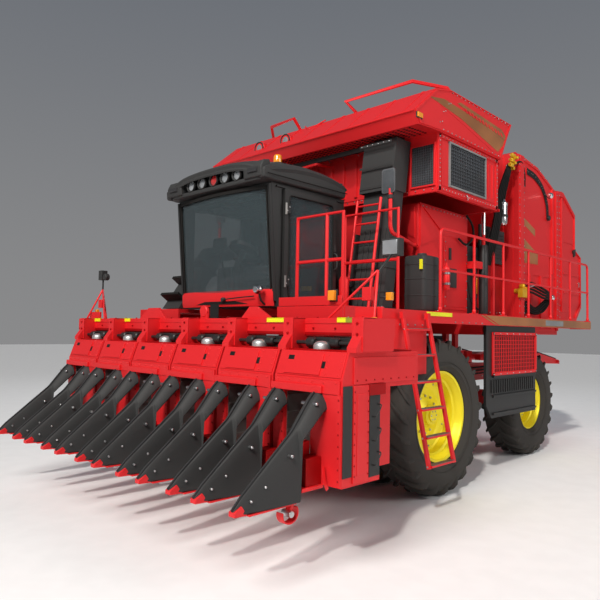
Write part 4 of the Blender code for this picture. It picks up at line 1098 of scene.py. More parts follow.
def lamp(pile, centre, radius, lens="clear_lens", depth=0.05):
    """A round lamp looking along Y: a bezel ring, a stepped reflector and a domed lens."""
    bezel = [(radius * 1.16, 0.02), (radius * 1.2, 0.0), (radius * 1.14, -0.012),
             (radius * 1.0, -0.008), (radius * 0.97, 0.006), (radius * 0.99, 0.02)]
    pile.add(lathe(bezel, 28, centre, "Y"), "black_plastic")
    dome = [(0.0, -0.006), (radius * 0.35, -0.004), (radius * 0.7, 0.0), (radius * 0.95, 0.008),
            (radius * 0.95, 0.016), (0.0, 0.016)]
    pile.add(lathe(dome, 28, centre, "Y"), lens)
    body = [(0.0, depth), (radius * 0.7, depth), (radius * 1.1, 0.018), (0.0, 0.018)]
    pile.add(lathe(body, 28, centre, "Y"), "black_plastic")


class PICKER_OT_cab_roof(bpy.types.Operator):
    """Moulded cab roof with its lamp recess, lamps and beacon"""
    bl_idname = "picker.cab_roof"
    bl_label = "Cab roof"

    def execute(self, context):
        low, high = span("cab_roof")
        half, base, front, rear = high[0], low[2], low[1], high[1]
        pile = Pile("cab_roof_shell")
        steps = 25
        x = np.linspace(-1, 1, steps)
        y = np.array((front + 0.01, front + 0.004, front + 0.012, front + 0.05, front + 0.11,
                      front + 0.2, -1.75, -1.45, -1.15, -1.0, rear - 0.06, rear - 0.01, rear))
        crown = np.array((base + 0.215, base + 0.235, base + 0.255, base + 0.275, base + 0.295,
                          base + 0.32,
                          base + 0.365, base + 0.385, base + 0.375, base + 0.355, base + 0.33,
                          base + 0.29, base + 0.25))
        edge = half * np.clip(1 - 0.02 * np.exp(-((y - front) / 0.1) ** 2), 0, 1)
        droop = 0.13 * np.abs(x) ** 5 + 0.05 * x ** 2
        grid = np.empty((len(y), steps, 3))
        grid[..., 0] = edge[:, None] * x
        grid[..., 1] = y[:, None] + 0.06 * (x ** 4)[None] * np.exp(-((y - front) / 0.3))[:, None]
        grid[..., 2] = np.maximum(crown[:, None] - droop[None], base + 0.12)
        under = grid.copy()[:, ::-1]
        under[..., 2] = np.maximum(base + 0.1, grid[:, ::-1, 2] - 0.05)
        under[..., 0] *= 0.985
        pile.add(skin(np.concatenate((grid, under), 1), close_v=True, caps=True), "black_plastic")
        rim = [(-half + 0.01, front + 0.14), (-half + 0.12, front + 0.05), (half - 0.12, front + 0.05),
               (half - 0.01, front + 0.14), (half - 0.01, rear - 0.01), (-half + 0.01, rear - 0.01)]
        pile.add(softened(smooth_outline(rim, 0.05), "Z", base + 0.004, base + 0.055, 0.02),
                 "black_plastic")
        for side in (1, -1):
            cheek = [(front + 0.04, base + 0.01), (rear - 0.01, base + 0.02), (rear - 0.01, base + 0.13),
                     (-1.3, base + 0.17), (front + 0.12, base + 0.17), (front + 0.03, base + 0.12)]
            near, far = sorted((side * (half - 0.012), side * (half - 0.1)))
            pile.add(softened(smooth_outline(cheek, 0.03), "X", near, far, 0.015), "black_plastic")
            shoulder = [(front + 0.03, base + 0.03), (front + 0.16, base + 0.03),
                        (front + 0.16, base + 0.24),
                        (front + 0.06, base + 0.22), (front + 0.02, base + 0.14)]
            near, far = sorted((side * 0.6, side * (half - 0.05)))
            pile.add(softened(smooth_outline(shoulder, 0.02), "X", near, far, 0.015), "black_plastic")
            slot = block((side * 0.76 - 0.08, front + 0.01, base + 0.09),
                         (side * 0.76 + 0.08, front + 0.03, base + 0.14))
            pile.add(slot, "panel_grey")
            seam = np.array(((side * (half + 0.001), front + 0.08, base + 0.065),
                             (side * (half + 0.001), rear, base + 0.065)))
            pile.add(bar(seam, 0.008, 0.01), "gasket_rubber")
        back = block((-0.62, front + 0.13, base + 0.04), (0.62, front + 0.16, base + 0.24))
        pile.add(back, "panel_grey")
        pile.add(block((-half + 0.06, rear - 0.06, base + 0.03),
                       (half - 0.06, rear - 0.02, base + 0.2)), "black_plastic")
        for x_lamp in (0.45, 0.23, 0.02, -0.21, -0.43):
            lens = "red_lens" if x_lamp == 0.02 else "clear_lens"
            lamp(pile, (x_lamp, front + 0.055, base + 0.125), 0.066, lens=lens)
            pile.add(block((x_lamp - 0.012, front + 0.06, base + 0.02),
                           (x_lamp + 0.012, front + 0.1, base + 0.06)), "black_paint")
        for x_lamp in (0.79, -0.79):
            pile.add(block((x_lamp - 0.07, rear - 0.02, base + 0.1),
                           (x_lamp + 0.07, rear + 0.006, base + 0.17)), "clear_lens")
        beacon = np.array((0.52, -1.62, base + 0.345))
        foot = [(0.0, -0.02), (0.075, -0.02), (0.075, 0.012), (0.055, 0.022), (0.0, 0.022)]
        glow = [(0.0, 0.022), (0.052, 0.022), (0.052, 0.045), (0.05, 0.095), (0.04, 0.115),
                (0.0, 0.122)]
        pile.add(lathe(np.array(foot), 24, beacon, "Z"), "black_plastic")
        pile.add(lathe(np.array(glow), 24, beacon, "Z"), "amber_lens")
        dish = [(0.0, 0.0), (0.13, 0.0), (0.135, 0.02), (0.12, 0.045), (0.06, 0.07), (0.0, 0.075)]
        pile.add(lathe(np.array(dish), 32, (0, -1.3, base + 0.375), "Z"), "valve_yellow")
        pile.build("chassis", bevel=0.004, stands_for=("cab_roof",), finish="black_plastic")
        return {"FINISHED"}


class PICKER_OT_cab_body(bpy.types.Operator):
    """Windscreen, seals, wiper, hinges, handle, headliner and outer cab trim"""
    bl_idname = "picker.cab_body"
    bl_label = "Cab body"

    def execute(self, context):
        self.windscreen()
        self.trim()
        self.door()
        return {"FINISHED"}

    def windscreen(self):
        """Curved screen: bulge = 0.10 (1 - (x / half)^2) forward of the straight line between pillars."""
        low, high = span("windscreen")
        half = high[0]
        x = np.linspace(-half, half, 33)
        levels = np.linspace(low[2], high[2], 13)
        lean = (levels - low[2]) / (high[2] - low[2])
        plane_low, plane_high = self.screen_plane()
        y = plane_low + (plane_high - plane_low) * lean
        bulge = -0.1 * (1 - (x / half) ** 2)
        grid = np.empty((13, 33, 3))
        grid[..., 0] = x[None]
        grid[..., 1] = y[:, None] + bulge[None]
        grid[..., 2] = levels[:, None]
        inner = grid[:, ::-1] + (0, 0.01, 0)
        pile = Pile("curved_windscreen")
        pile.add(skin(np.concatenate((grid, inner), 1), close_v=True, caps=True), "tinted_glass")
        pile.build("chassis", bevel=0.0, smooth=60, stands_for=("windscreen",), finish="tinted_glass")
        frit = Pile("windscreen_seal")
        for row, rise in ((0, 0.014), (12, -0.014)):
            run = grid[row] + (0, -0.008, rise)
            frit.add(bar(run, 0.02, 0.036), "gasket_rubber")
        for column, inset in ((0, 0.012), (32, -0.012)):
            run = grid[:, column] + (inset, -0.006, 0)
            frit.add(bar(run, 0.034, 0.02), "gasket_rubber")
        pivot = np.array((0.1, grid[0, 16, 1] - 0.03, low[2] + 0.05))
        frit.add(drum(pivot, "Y", 0.028, 0.05, 16), "black_plastic")
        arm = np.vstack((pivot + (0, -0.02, 0), pivot + (0.3, -0.005, 0.02),
                         pivot + (0.52, 0.02, 0.03)))
        frit.add(pipe(curve_through(arm), 0.007, 8), "black_paint")
        frit.build("chassis", bevel=0.0, smooth=40)

    def screen_plane(self):
        """Where the screen's edges stand at its foot and at its head."""
        return -1.935, -2.052

    def trim(self):
        """Pillar covers, gutters, the bowed red front panel, the globe lamp and the cab's inside."""
        pile = Pile("cab_trim")
        for side in (1, -1):
            front_low, front_high = self.screen_plane()
            pillar = line((side * 0.862, front_low - 0.004, 2.3),
                          (side * 0.862, front_high - 0.004, 3.6), 6)
            pile.add(bar(pillar, 0.052, 0.03), "black_paint")
            gutter = line((side * 0.888, -1.98, 3.585), (side * 0.888, -0.82, 3.585), 4)
            pile.add(bar(gutter, 0.016, 0.028), "black_paint")
        x = np.linspace(-0.86, 0.86, 21)
        out = -1.962 - 0.075 * (1 - (x / 0.86) ** 2)
        levels = np.array((2.242, 2.3, 2.4, 2.432))
        belly = np.empty((4, 21, 3))
        belly[..., 0], belly[..., 1] = x[None], out[None] + np.array((0.0, -0.012, -0.014, 0.0))[:, None]
        belly[..., 2] = levels[:, None]
        inner = belly[:, ::-1] + (0, 0.014, 0)
        pile.add(skin(np.concatenate((belly, inner), 1), close_v=True, caps=True))
        globe = [(0.0, -0.05), (0.035, -0.045), (0.052, -0.02), (0.055, 0.01), (0.045, 0.04),
                 (0.0, 0.05)]
        at = np.array((0.74, -2.09, 2.42))
        pile.add(lathe(np.array(globe), 24, at, "Y"), "chrome_plate")
        pile.add(pipe(curve_through([at + (0, 0.02, -0.04), at + (0, 0.05, -0.12), (0.74, -1.98, 2.26)]),
                      0.012, 8), "black_paint")
        pile.add(block((-0.8, -1.9, 3.545), (0.8, -0.84, 3.56)), "panel_grey")
        pile.add(block((-0.62, -1.99, 3.47), (0.62, -1.86, 3.55)), "panel_grey")
        for x in (-0.4, -0.1, 0.2, 0.46):
            pile.add(drum((x, -1.9, 3.465), "Z", 0.034, 0.02, 20), "black_plastic")
        arm_rest = [(-1.46, 2.86), (-1.12, 2.86), (-1.1, 2.93), (-1.44, 2.95), (-1.55, 2.9)]
        pile.add(softened(smooth_outline(arm_rest, 0.02), "X", -0.4, -0.28, 0.015), "panel_grey")
        pile.add(softened(smooth_outline([(-1.42, 2.86), (-1.14, 2.86), (-1.14, 2.92), (-1.42, 2.92)],
                                         0.02), "X", 0.28, 0.36, 0.015), "panel_grey")
        stick = [(-0.34, -1.46, 2.93), (-0.34, -1.47, 3.0), (-0.34, -1.5, 3.06)]
        pile.add(pipe(curve_through([np.array(one) for one in stick]), 0.012, 10), "black_plastic")
        pile.add(drum((-0.34, -1.5, 3.08), "Z", 0.03, 0.07, 16, 0.01), "black_plastic")
        screen = [(-0.6, 2.96), (-0.36, 2.96), (-0.36, 3.16), (-0.6, 3.16)]
        pile.add(softened(smooth_outline(screen, 0.015), "Y", -1.7, -1.66, 0.008), "black_plastic")
        pile.add(block((-0.585, -1.656, 2.975), (-0.375, -1.652, 3.145)), "black_label")
        pile.add(pipe(line((-0.48, -1.67, 2.96), (-0.44, -1.55, 2.4), 3), 0.014, 8), "black_paint")
        console = [(-1.5, 2.3), (-1.05, 2.3), (-1.05, 2.78), (-1.2, 2.84), (-1.5, 2.8)]
        pile.add(softened(smooth_outline(console, 0.03), "X", -0.76, -0.46, 0.02), "panel_grey")
        pile.add(block((-0.6, -1.84, 2.3), (0.6, -1.3, 2.312)), "gasket_rubber")
        for x in (-0.16, 0.14):
            pile.add(block((x - 0.05, -1.79, 2.33), (x + 0.05, -1.73, 2.46)), "black_paint")
        pile.add(block((0.55, -1.2, 2.46), (0.67, -1.14, 2.52)), "valve_yellow")
        pile.build("chassis", smooth=35)

    def door(self):
        """Door furniture: window seal, two hinges, grip and lock."""
        low, high = span("cab_door")
        pile = Pile("door_furniture")
        out = high[0]
        y0, y1, z0, z1 = low[1], high[1], low[2], high[2]
        seal = [(out + 0.001, y0 + 0.068, z0 + 0.068), (out + 0.001, y1 - 0.068, z0 + 0.068),
                (out + 0.001, y1 - 0.068, z1 - 0.068), (out + 0.001, y0 + 0.068, z1 - 0.068)]
        looped = np.vstack((np.mean((seal[0], seal[-1]), 0), seal, np.mean((seal[0], seal[-1]), 0)))
        pile.add(pipe(rounded(looped, 0.05), 0.008, 8), "gasket_rubber")
        for z in (2.52, 3.34):
            pile.add(block((out + 0.001, y0 + 0.01, z - 0.045), (out + 0.016, y0 + 0.075, z + 0.045)),
                     "black_paint")
            pile.add(drum((out + 0.012, y0 + 0.01, z), "Z", 0.014, 0.13, 14, 0.004), "bare_steel")
            pile.add(bolt_row((out + 0.022, y0 + 0.02, z - 0.022), (out + 0.022, y0 + 0.055, z + 0.022),
                              2, "X", 0.008, 0.01), "zinc_steel")
        grip = [(out, y1 - 0.035, 2.72), (out + 0.045, y1 - 0.035, 2.74),
                (out + 0.045, y1 - 0.035, 2.9), (out, y1 - 0.035, 2.92)]
        pile.add(pipe(rounded(grip, 0.03), 0.01, 10), "black_plastic")
        pile.add(block((out, y1 - 0.055, 2.94), (out + 0.012, y1 - 0.015, 3.02)), "black_plastic")
        pile.build("cab_door", smooth=35)


class PICKER_OT_seat(bpy.types.Operator):
    """Padded seat cushion and back, with its base, suspension and belt"""
    bl_idname = "picker.seat"
    bl_label = "Seat"

    def execute(self, context):
        self.pad("seat_cushion", (0.5, 0.0, 0.06))
        self.pad("seat_back", (0.5, 0.06, 0.0))
        base = Pile("seat_base")
        base.add(softened(smooth_outline([(-1.5, 2.6), (-1.06, 2.6), (-1.06, 2.65), (-1.5, 2.65)],
                                         0.01), "X", -0.23, 0.23, 0.01), "black_plastic")
        for level in np.linspace(2.34, 2.56, 7):
            outline = smooth_outline([(-0.215, -1.44), (0.215, -1.44), (0.215, -1.0), (-0.215, -1.0)],
                                     0.03)
            base.add(softened(outline, "Z", level, level + 0.022, 0.008), "gasket_rubber")
        base.add(pipe(curve_through([(0.27, -1.2, 2.66), (0.29, -1.22, 2.8), (0.2, -1.26, 2.8)]),
                      0.01, 8), "gasket_rubber")
        base.add(block((-0.3, -1.26, 2.64), (-0.262, -1.16, 2.78)), "red_lens")
        base.build("chassis", bevel=0.002, smooth=35)
        return {"FINISHED"}

    def pad(self, node, thin):
        """Fill the cushion's box with a rounded pad, then let cloth pressure settle it."""
        low, high = span(node)
        middle, reach = (low + high) / 2, (high - low) / 2
        shape = cushion_shape(middle, reach, thin)
        pile = Pile(node + "_pad")
        pile.add(shape, "seat_fabric")
        piece = pile.build("chassis", bevel=0.0, smooth=60, stands_for=(node,), finish="seat_fabric")
        settle(piece)


def cushion_shape(middle, reach, thin):
    """A superellipsoid |x/a|^n + |y/b|^n + |z/c|^n = 1 with n = 7 and two stitched channels.

    Points of a cube's surface are divided by their n-norm; a channel lowers the face across its
    thin direction by d exp(-(x / w)^2).
    """
    steps = 26
    cube = bmesh.new()
    bmesh.ops.create_cube(cube, size=2.0)
    bmesh.ops.subdivide_edges(cube, edges=cube.edges[:], cuts=steps, use_grid_fill=True)
    points = np.array([vertex.co[:] for vertex in cube.verts])
    faces = [[vertex.index for vertex in face.verts] for face in cube.faces]
    cube.free()
    power = 7.0
    points /= (np.abs(points) ** power).sum(1, keepdims=True) ** (1 / power)
    across = 2 if thin[2] else 1
    near, far = (points[:, 0] - 0.62) / 0.05, (points[:, 0] + 0.62) / 0.05
    dent = 0.1 * (np.exp(-near ** 2) + np.exp(-far ** 2))
    other = 1 if across == 2 else 2
    dent += 0.08 * np.exp(-((points[:, other] - 0.35) / 0.05) ** 2)
    face_share = np.clip(np.abs(points[:, across]) * 1.4 - 0.4, 0, 1)
    points[:, across] *= 1 - dent * face_share
    points = points * (reach * 0.985) + middle
    return points, faces


def settle(piece):
    """Remesh, run cloth pressure over frames 1 to 12 and keep the shape, clamped to within 0.012 of its box.
    """
    before = np.empty(len(piece.data.vertices) * 3)
    piece.data.vertices.foreach_get("co", before)
    box = before.reshape(-1, 3)
    low, high = box.min(0), box.max(0)
    remesh = piece.modifiers.new("remesh", "REMESH")
    remesh.mode = "VOXEL"
    remesh.voxel_size = 0.01
    cloth = piece.modifiers.new("cloth", "CLOTH")
    cloth.settings.use_pressure = True
    cloth.settings.uniform_pressure_force = 2.5
    cloth.settings.effector_weights.gravity = 0.0
    cloth.settings.tension_stiffness = 40
    cloth.settings.quality = 6
    cloth.point_cache.frame_start = 1
    cloth.point_cache.frame_end = 12
    scene = bpy.context.scene
    for number in range(1, 13):
        scene.frame_set(number)
    graph = bpy.context.evaluated_depsgraph_get()
    mesh = bpy.data.meshes.new_from_object(piece.evaluated_get(graph))
    count = len(mesh.vertices)
    after = np.empty(count * 3)
    mesh.vertices.foreach_get("co", after)
    after = np.clip(after.reshape(-1, 3), low - 0.012, high + 0.012)
    mesh.vertices.foreach_set("co", after.ravel())
    piece.modifiers.clear()
    old = piece.data
    for slot in old.materials:
        if slot.name not in mesh.materials:
            mesh.materials.append(slot)
    piece.data = mesh
    mesh.polygons.foreach_set("use_smooth", np.ones(len(mesh.polygons), bool))
    scene.frame_set(1)


# ---- Hopper -------------------------------------------------------------------------------------
class Wall:
    """Adds raised panels, rivets and strips to one flat side wall, in (rearward, up) places."""

    def __init__(self, pile, reach, side):
        self.pile = pile
        self.reach = reach
        self.side = side

    def plate(self, outline, out, thick, paint="red_paint"):
        """A flat plate: its (y, z) outline, from out to out + thick beyond the wall."""
        shape = prism(outline, "X", self.reach + out, self.reach + out + thick)
        self.pile.add(sided(shape, self.side), paint)

    def panel(self, y_low, z_low, y_high, z_high, out, thick, paint="red_paint"):
        """A rectangular plate."""
        self.plate([(y_low, z_low), (y_high, z_low), (y_high, z_high), (y_low, z_high)], out, thick,
                   paint)

    def bolts(self, start, end, count, radius=0.012, out=0.006):
        """Hexagon heads in equal steps between two (y, z) places."""
        head = drum((0, 0, 0), "X", radius, 0.014, 6)
        first = (self.reach + out, *start)
        last = (self.reach + out, *end)
        self.pile.add(sided(copies(head, line(first, last, count)), self.side), "zinc_steel")

    def tube(self, places, radius, paint, step=0.04, sides=10):
        """A tube through (out, y, z) places."""
        path = [(self.reach + out, y, z) for out, y, z in places]
        self.pile.add(sided(pipe(curve_through(path, step), radius, sides), self.side), paint)

    def add(self, shape, paint="red_paint"):
        """A free shape, on this wall's side."""
        self.pile.add(sided(shape, self.side), paint)


class PICKER_OT_hopper(bpy.types.Operator):
    """Upper hopper: panels, seams, grid screens, roof stripes, visor and lamps"""
    bl_idname = "picker.hopper"
    bl_label = "Upper hopper"

    def execute(self, context):
        low, high = span("upper_hopper")
        for side, word in SIDES:
            pile = Pile(f"hopper_side_{word}")
            wall = Wall(pile, high[0], side)
            wall.panel(-0.16, 3.73, 1.4, 3.775, 0, 0.014)
            wall.panel(-0.16, 4.385, 1.4, 4.43, 0, 0.014)
            wall.panel(-0.17, 3.73, -0.11, 4.43, 0, 0.014)
            wall.panel(1.35, 3.73, 1.41, 4.43, 0, 0.014)
            wall.panel(-0.08, 3.8, 1.32, 4.36, 0, 0.005)
            self.screen(wall, 0.1, 3.83, 1.02, 4.36)
            wall.bolts((-0.14, 3.78), (-0.14, 4.4), 12, 0.008, out=0.016)
            wall.bolts((1.38, 3.78), (1.38, 4.4), 12, 0.008, out=0.016)
            wall.bolts((-0.06, 3.752), (1.32, 3.752), 20, 0.008, out=0.016)
            wall.bolts((-0.06, 4.407), (1.32, 4.407), 20, 0.008, out=0.016)
            for y in (1.12, 1.24):
                wall.panel(y, 3.86, y + 0.02, 4.32, 0.004, 0.012)
            latch = [(0.02, 0.5, 3.77), (0.035, 0.52, 3.74), (0.02, 0.54, 3.71)]
            wall.tube(latch, 0.007, "zinc_steel", 0.01, 8)
            pile.build("hopper", smooth=30)
            self.roof_side(side, word)
        self.front(low, high)
        self.visor()
        return {"FINISHED"}

    def screen(self, wall, y_low, z_low, y_high, z_high):
        """A mesh screen: a dark backing that paints the shade seen through the mesh, two crossed layers of
        wires and a grey frame.
        """
        # Painted shade: the dark backing stands for the dark inside seen through the screen.
        wall.panel(y_low, z_low, y_high, z_high, 0.005, 0.004, "panel_grey")
        count_y, count_z = 21, 12
        for y in np.linspace(y_low + 0.02, y_high - 0.02, count_y):
            wall.panel(y - 0.0035, z_low, y + 0.0035, z_high, 0.009, 0.007, "screen_mesh")
        for z in np.linspace(z_low + 0.02, z_high - 0.02, count_z):
            wall.panel(y_low, z - 0.0035, y_high, z + 0.0035, 0.012, 0.007, "screen_mesh")
        wide = 0.022
        for a, b, c, d in ((y_low - wide, z_low - wide, y_high + wide, z_low),
                           (y_low - wide, z_high, y_high + wide, z_high + wide),
                           (y_low - wide, z_low, y_low, z_high), (y_high, z_low, y_high + wide, z_high)):
            wall.panel(a, b, c, d, 0.004, 0.024, "grey_patch")

    def roof_side(self, side, word):
        """The gable: folded edges, gold stripes, amber marker and seam bolts."""
        pile = Pile(f"roof_gable_{word}")
        wall = Wall(pile, span("hopper_roof")[1][0], side)
        outline = [(-0.64, 4.425), (-0.735, 4.56), (-0.275, 4.94), (0.05, 5.02), (1.755, 5.02),
                   (1.61, 4.785), (1.43, 4.455), (-0.19, 4.455)]
        wall.plate(outline, 0.0, 0.004)
        middle = np.mean(outline, 0)
        rim = np.array(outline + outline[:1])
        for start, end in zip(rim, rim[1:]):
            inner_start, inner_end = start + (middle - start) * 0.035, end + (middle - end) * 0.035
            wall.plate([start, end, inner_end, inner_start], 0.004, 0.01)
        wall.plate([(-0.44, 4.8), (-0.1, 4.865), (1.53, 4.8), (1.6, 4.74), (1.34, 4.53),
                    (0.3, 4.73)], 0.004, 0.003, "gold_stripe")
        wall.plate([(-0.3, 4.79), (0.28, 4.715), (1.26, 4.535), (1.2, 4.5), (0.4, 4.66)], 0.004, 0.0035)
        wall.plate([(0.22, 4.9), (0.3, 4.935), (1.45, 4.875), (1.62, 4.79), (1.55, 4.74), (0.9, 4.83)],
                   0.004, 0.005, "gold_stripe")
        for share in np.linspace(0.08, 0.92, 12):
            y = 0.3 + 1.2 * share
            z = 4.895 - 0.075 * share
            wall.plate([(y, z), (y + 0.05, z - 0.004), (y + 0.09, z - 0.055), (y + 0.04, z - 0.052)],
                       0.009, 0.002)
        wall.panel(-0.72, 4.47, -0.6, 4.545, 0.004, 0.012, "black_plastic")
        wall.panel(-0.71, 4.48, -0.61, 4.535, 0.016, 0.014, "amber_lens")
        wall.bolts((-0.12, 4.475), (1.36, 4.475), 16, 0.009, out=0.01)
        wall.bolts((0.1, 4.995), (1.66, 4.995), 16, 0.009, out=0.01)
        for y, z in ((-0.2, 4.55), (-0.12, 4.7), (0.0, 4.83)):
            wall.bolts((y, z), (y + 0.05, z + 0.02), 2, 0.008, out=0.01)
        pile.build("hopper", bevel=0.002, smooth=30)

    def front(self, low, high):
        """Front wall between the ducts: ribs, dark side windows (mesh over dark panels that paint the shade
        behind) and a bracket tube.
        """
        pile = Pile("hopper_front")
        y = low[1]
        for x0, x1 in ((-0.92, -0.02), (0.02, 0.92)):
            pile.add(block((x0, y - 0.01, 3.76), (x1, y, 4.36)))
            for x in np.linspace(x0 + 0.12, x1 - 0.12, 4):
                pile.add(prism([(x - 0.03, y - 0.009), (x + 0.03, y - 0.009), (x + 0.018, y - 0.034),
                                (x - 0.018, y - 0.034)],
                               "Z", 3.8, 4.32))
        for side in (1, -1):
            near, far = sorted((side * 1.48, side * 1.8))
            # Painted shade: a dark panel behind the mesh.
            pile.add(block((near, y - 0.008, 3.8), (far, y, 4.3)), "panel_grey")
            for x in np.linspace(near + 0.02, far - 0.02, 12):
                pile.add(block((x - 0.003, y - 0.016, 3.8), (x + 0.003, y - 0.008, 4.3)), "screen_mesh")
            for z in np.linspace(3.82, 4.28, 16):
                pile.add(block((near, y - 0.013, z - 0.003), (far, y - 0.008, z + 0.003)), "screen_mesh")
            for a, b in (((near - 0.02, y - 0.022, 3.78), (near, y, 4.32)),
                         ((far, y - 0.022, 3.78), (far + 0.02, y, 4.32)),
                         ((near, y - 0.022, 3.78), (far, y, 3.8)),
                         ((near, y - 0.022, 4.3), (far, y, 4.32))):
                pile.add(block(a, b))
        frame_tube = [(-0.46, -0.48, 4.46), (-0.46, -0.5, 4.26), (0.12, -0.5, 4.28),
                      (0.12, -0.3, 4.3), (0.12, y, 4.3)]
        pile.add(pipe(rounded(frame_tube, 0.04), 0.022, 10))
        pile.add(bolt_row((-1.78, y - 0.006, 3.745), (1.78, y - 0.006, 3.745), 30, "Y", 0.009),
                 "zinc_steel")
        pile.build("hopper", smooth=30)
        back = Pile("hopper_rear_wall")
        rear = high[1]
        for x in np.linspace(-1.5, 1.5, 9):
            back.add(prism([(x - 0.05, rear), (x + 0.05, rear), (x + 0.03, rear + 0.03),
                            (x - 0.03, rear + 0.03)], "Z", 3.78, 4.38))
        back.add(block((-1.82, rear, 4.39), (1.82, rear + 0.014, 4.43)))
        back.add(block((-1.82, rear, 3.72), (1.82, rear + 0.014, 3.76)))
        back.add(bolt_row((-1.78, rear + 0.018, 4.41), (1.78, rear + 0.018, 4.41), 30, "Y", 0.009),
                 "zinc_steel")
        for side in (1, -1):
            rod = line((side * 1.6, 1.48, 3.4), (side * 1.6, 1.48, 3.8), 2)
            back.add(pipe(rod, 0.028, 24), "chrome_plate")
            ring = [(0.029, 0.0), (0.048, 0.0), (0.048, 0.03), (0.029, 0.03)]
            back.add(lathe(ring, 24, (side * 1.6, 1.48, 3.74), "Z"), "black_paint")
        back.build("hopper", bevel=0.002, smooth=30)

    def visor(self):
        """Front visor: ribbed sheet, an underside with dark dots that paint the shade in its perforations,
        two sunk lamps and roof seams.
        """
        pile = Pile("hopper_visor")
        slope = [np.array((-0.735, 4.56)), np.array((-0.28, 4.945))]
        face = unit(np.array((0.0, -(slope[1] - slope[0])[1], (slope[1] - slope[0])[0])))
        for x in np.linspace(-1.7, 1.7, 9):
            quad = [(x - 0.02, *slope[0]), (x + 0.02, *slope[0]), (x + 0.02, *slope[1]),
                    (x - 0.02, *slope[1])]
            pile.add(sheet_on(quad, face, 0.012))
        edge = np.array(((-1.88, -0.745, 4.552), (1.88, -0.745, 4.552)))
        pile.add(pipe(edge, 0.014, 10))
        # Painted shade: dark dots stand for the holes of the perforated underside.
        spot = drum((0, 0, 0), "Z", 0.016, 0.004, 8, 0.05)
        base = [(x, y, np.interp(y, (-0.66, -0.2), (4.4095, 4.4402)) - 0.003)
                for x in np.linspace(-1.72, 1.72, 44) for y in np.linspace(-0.6, -0.26, 7)]
        pile.add(copies(spot, base), "black_label")
        for x in (-0.97, -0.41):
            lamp(pile, np.array((x, -0.6, 4.705)), 0.08, depth=0.12)
            pile.add(drum((x, -0.55, 4.705), "Y", 0.098, 0.1, 28))
        for x in np.linspace(-1.6, 1.6, 7):
            pile.add(block((x - 0.012, 0.06, 5.03), (x + 0.012, 1.74, 5.044)))
        for y in (0.1, 0.9, 1.7):
            pile.add(bolt_row((-1.8, y, 5.034), (1.8, y, 5.034), 34, "Z", 0.009), "zinc_steel")
        for x in np.linspace(-0.9, 0.9, 8):
            under = line((x, -0.3, 4.42), (x, -0.22, 4.36), 2)
            pile.add(pipe(under, 0.007, 6), "bare_steel")
        chain = curve_through([(-0.3, -0.3, 4.96), (-0.15, -0.36, 4.88), (0.1, -0.3, 4.965)])
        pile.add(pipe(chain, 0.01, 8))
        pile.build("hopper", bevel=0.002, smooth=30)


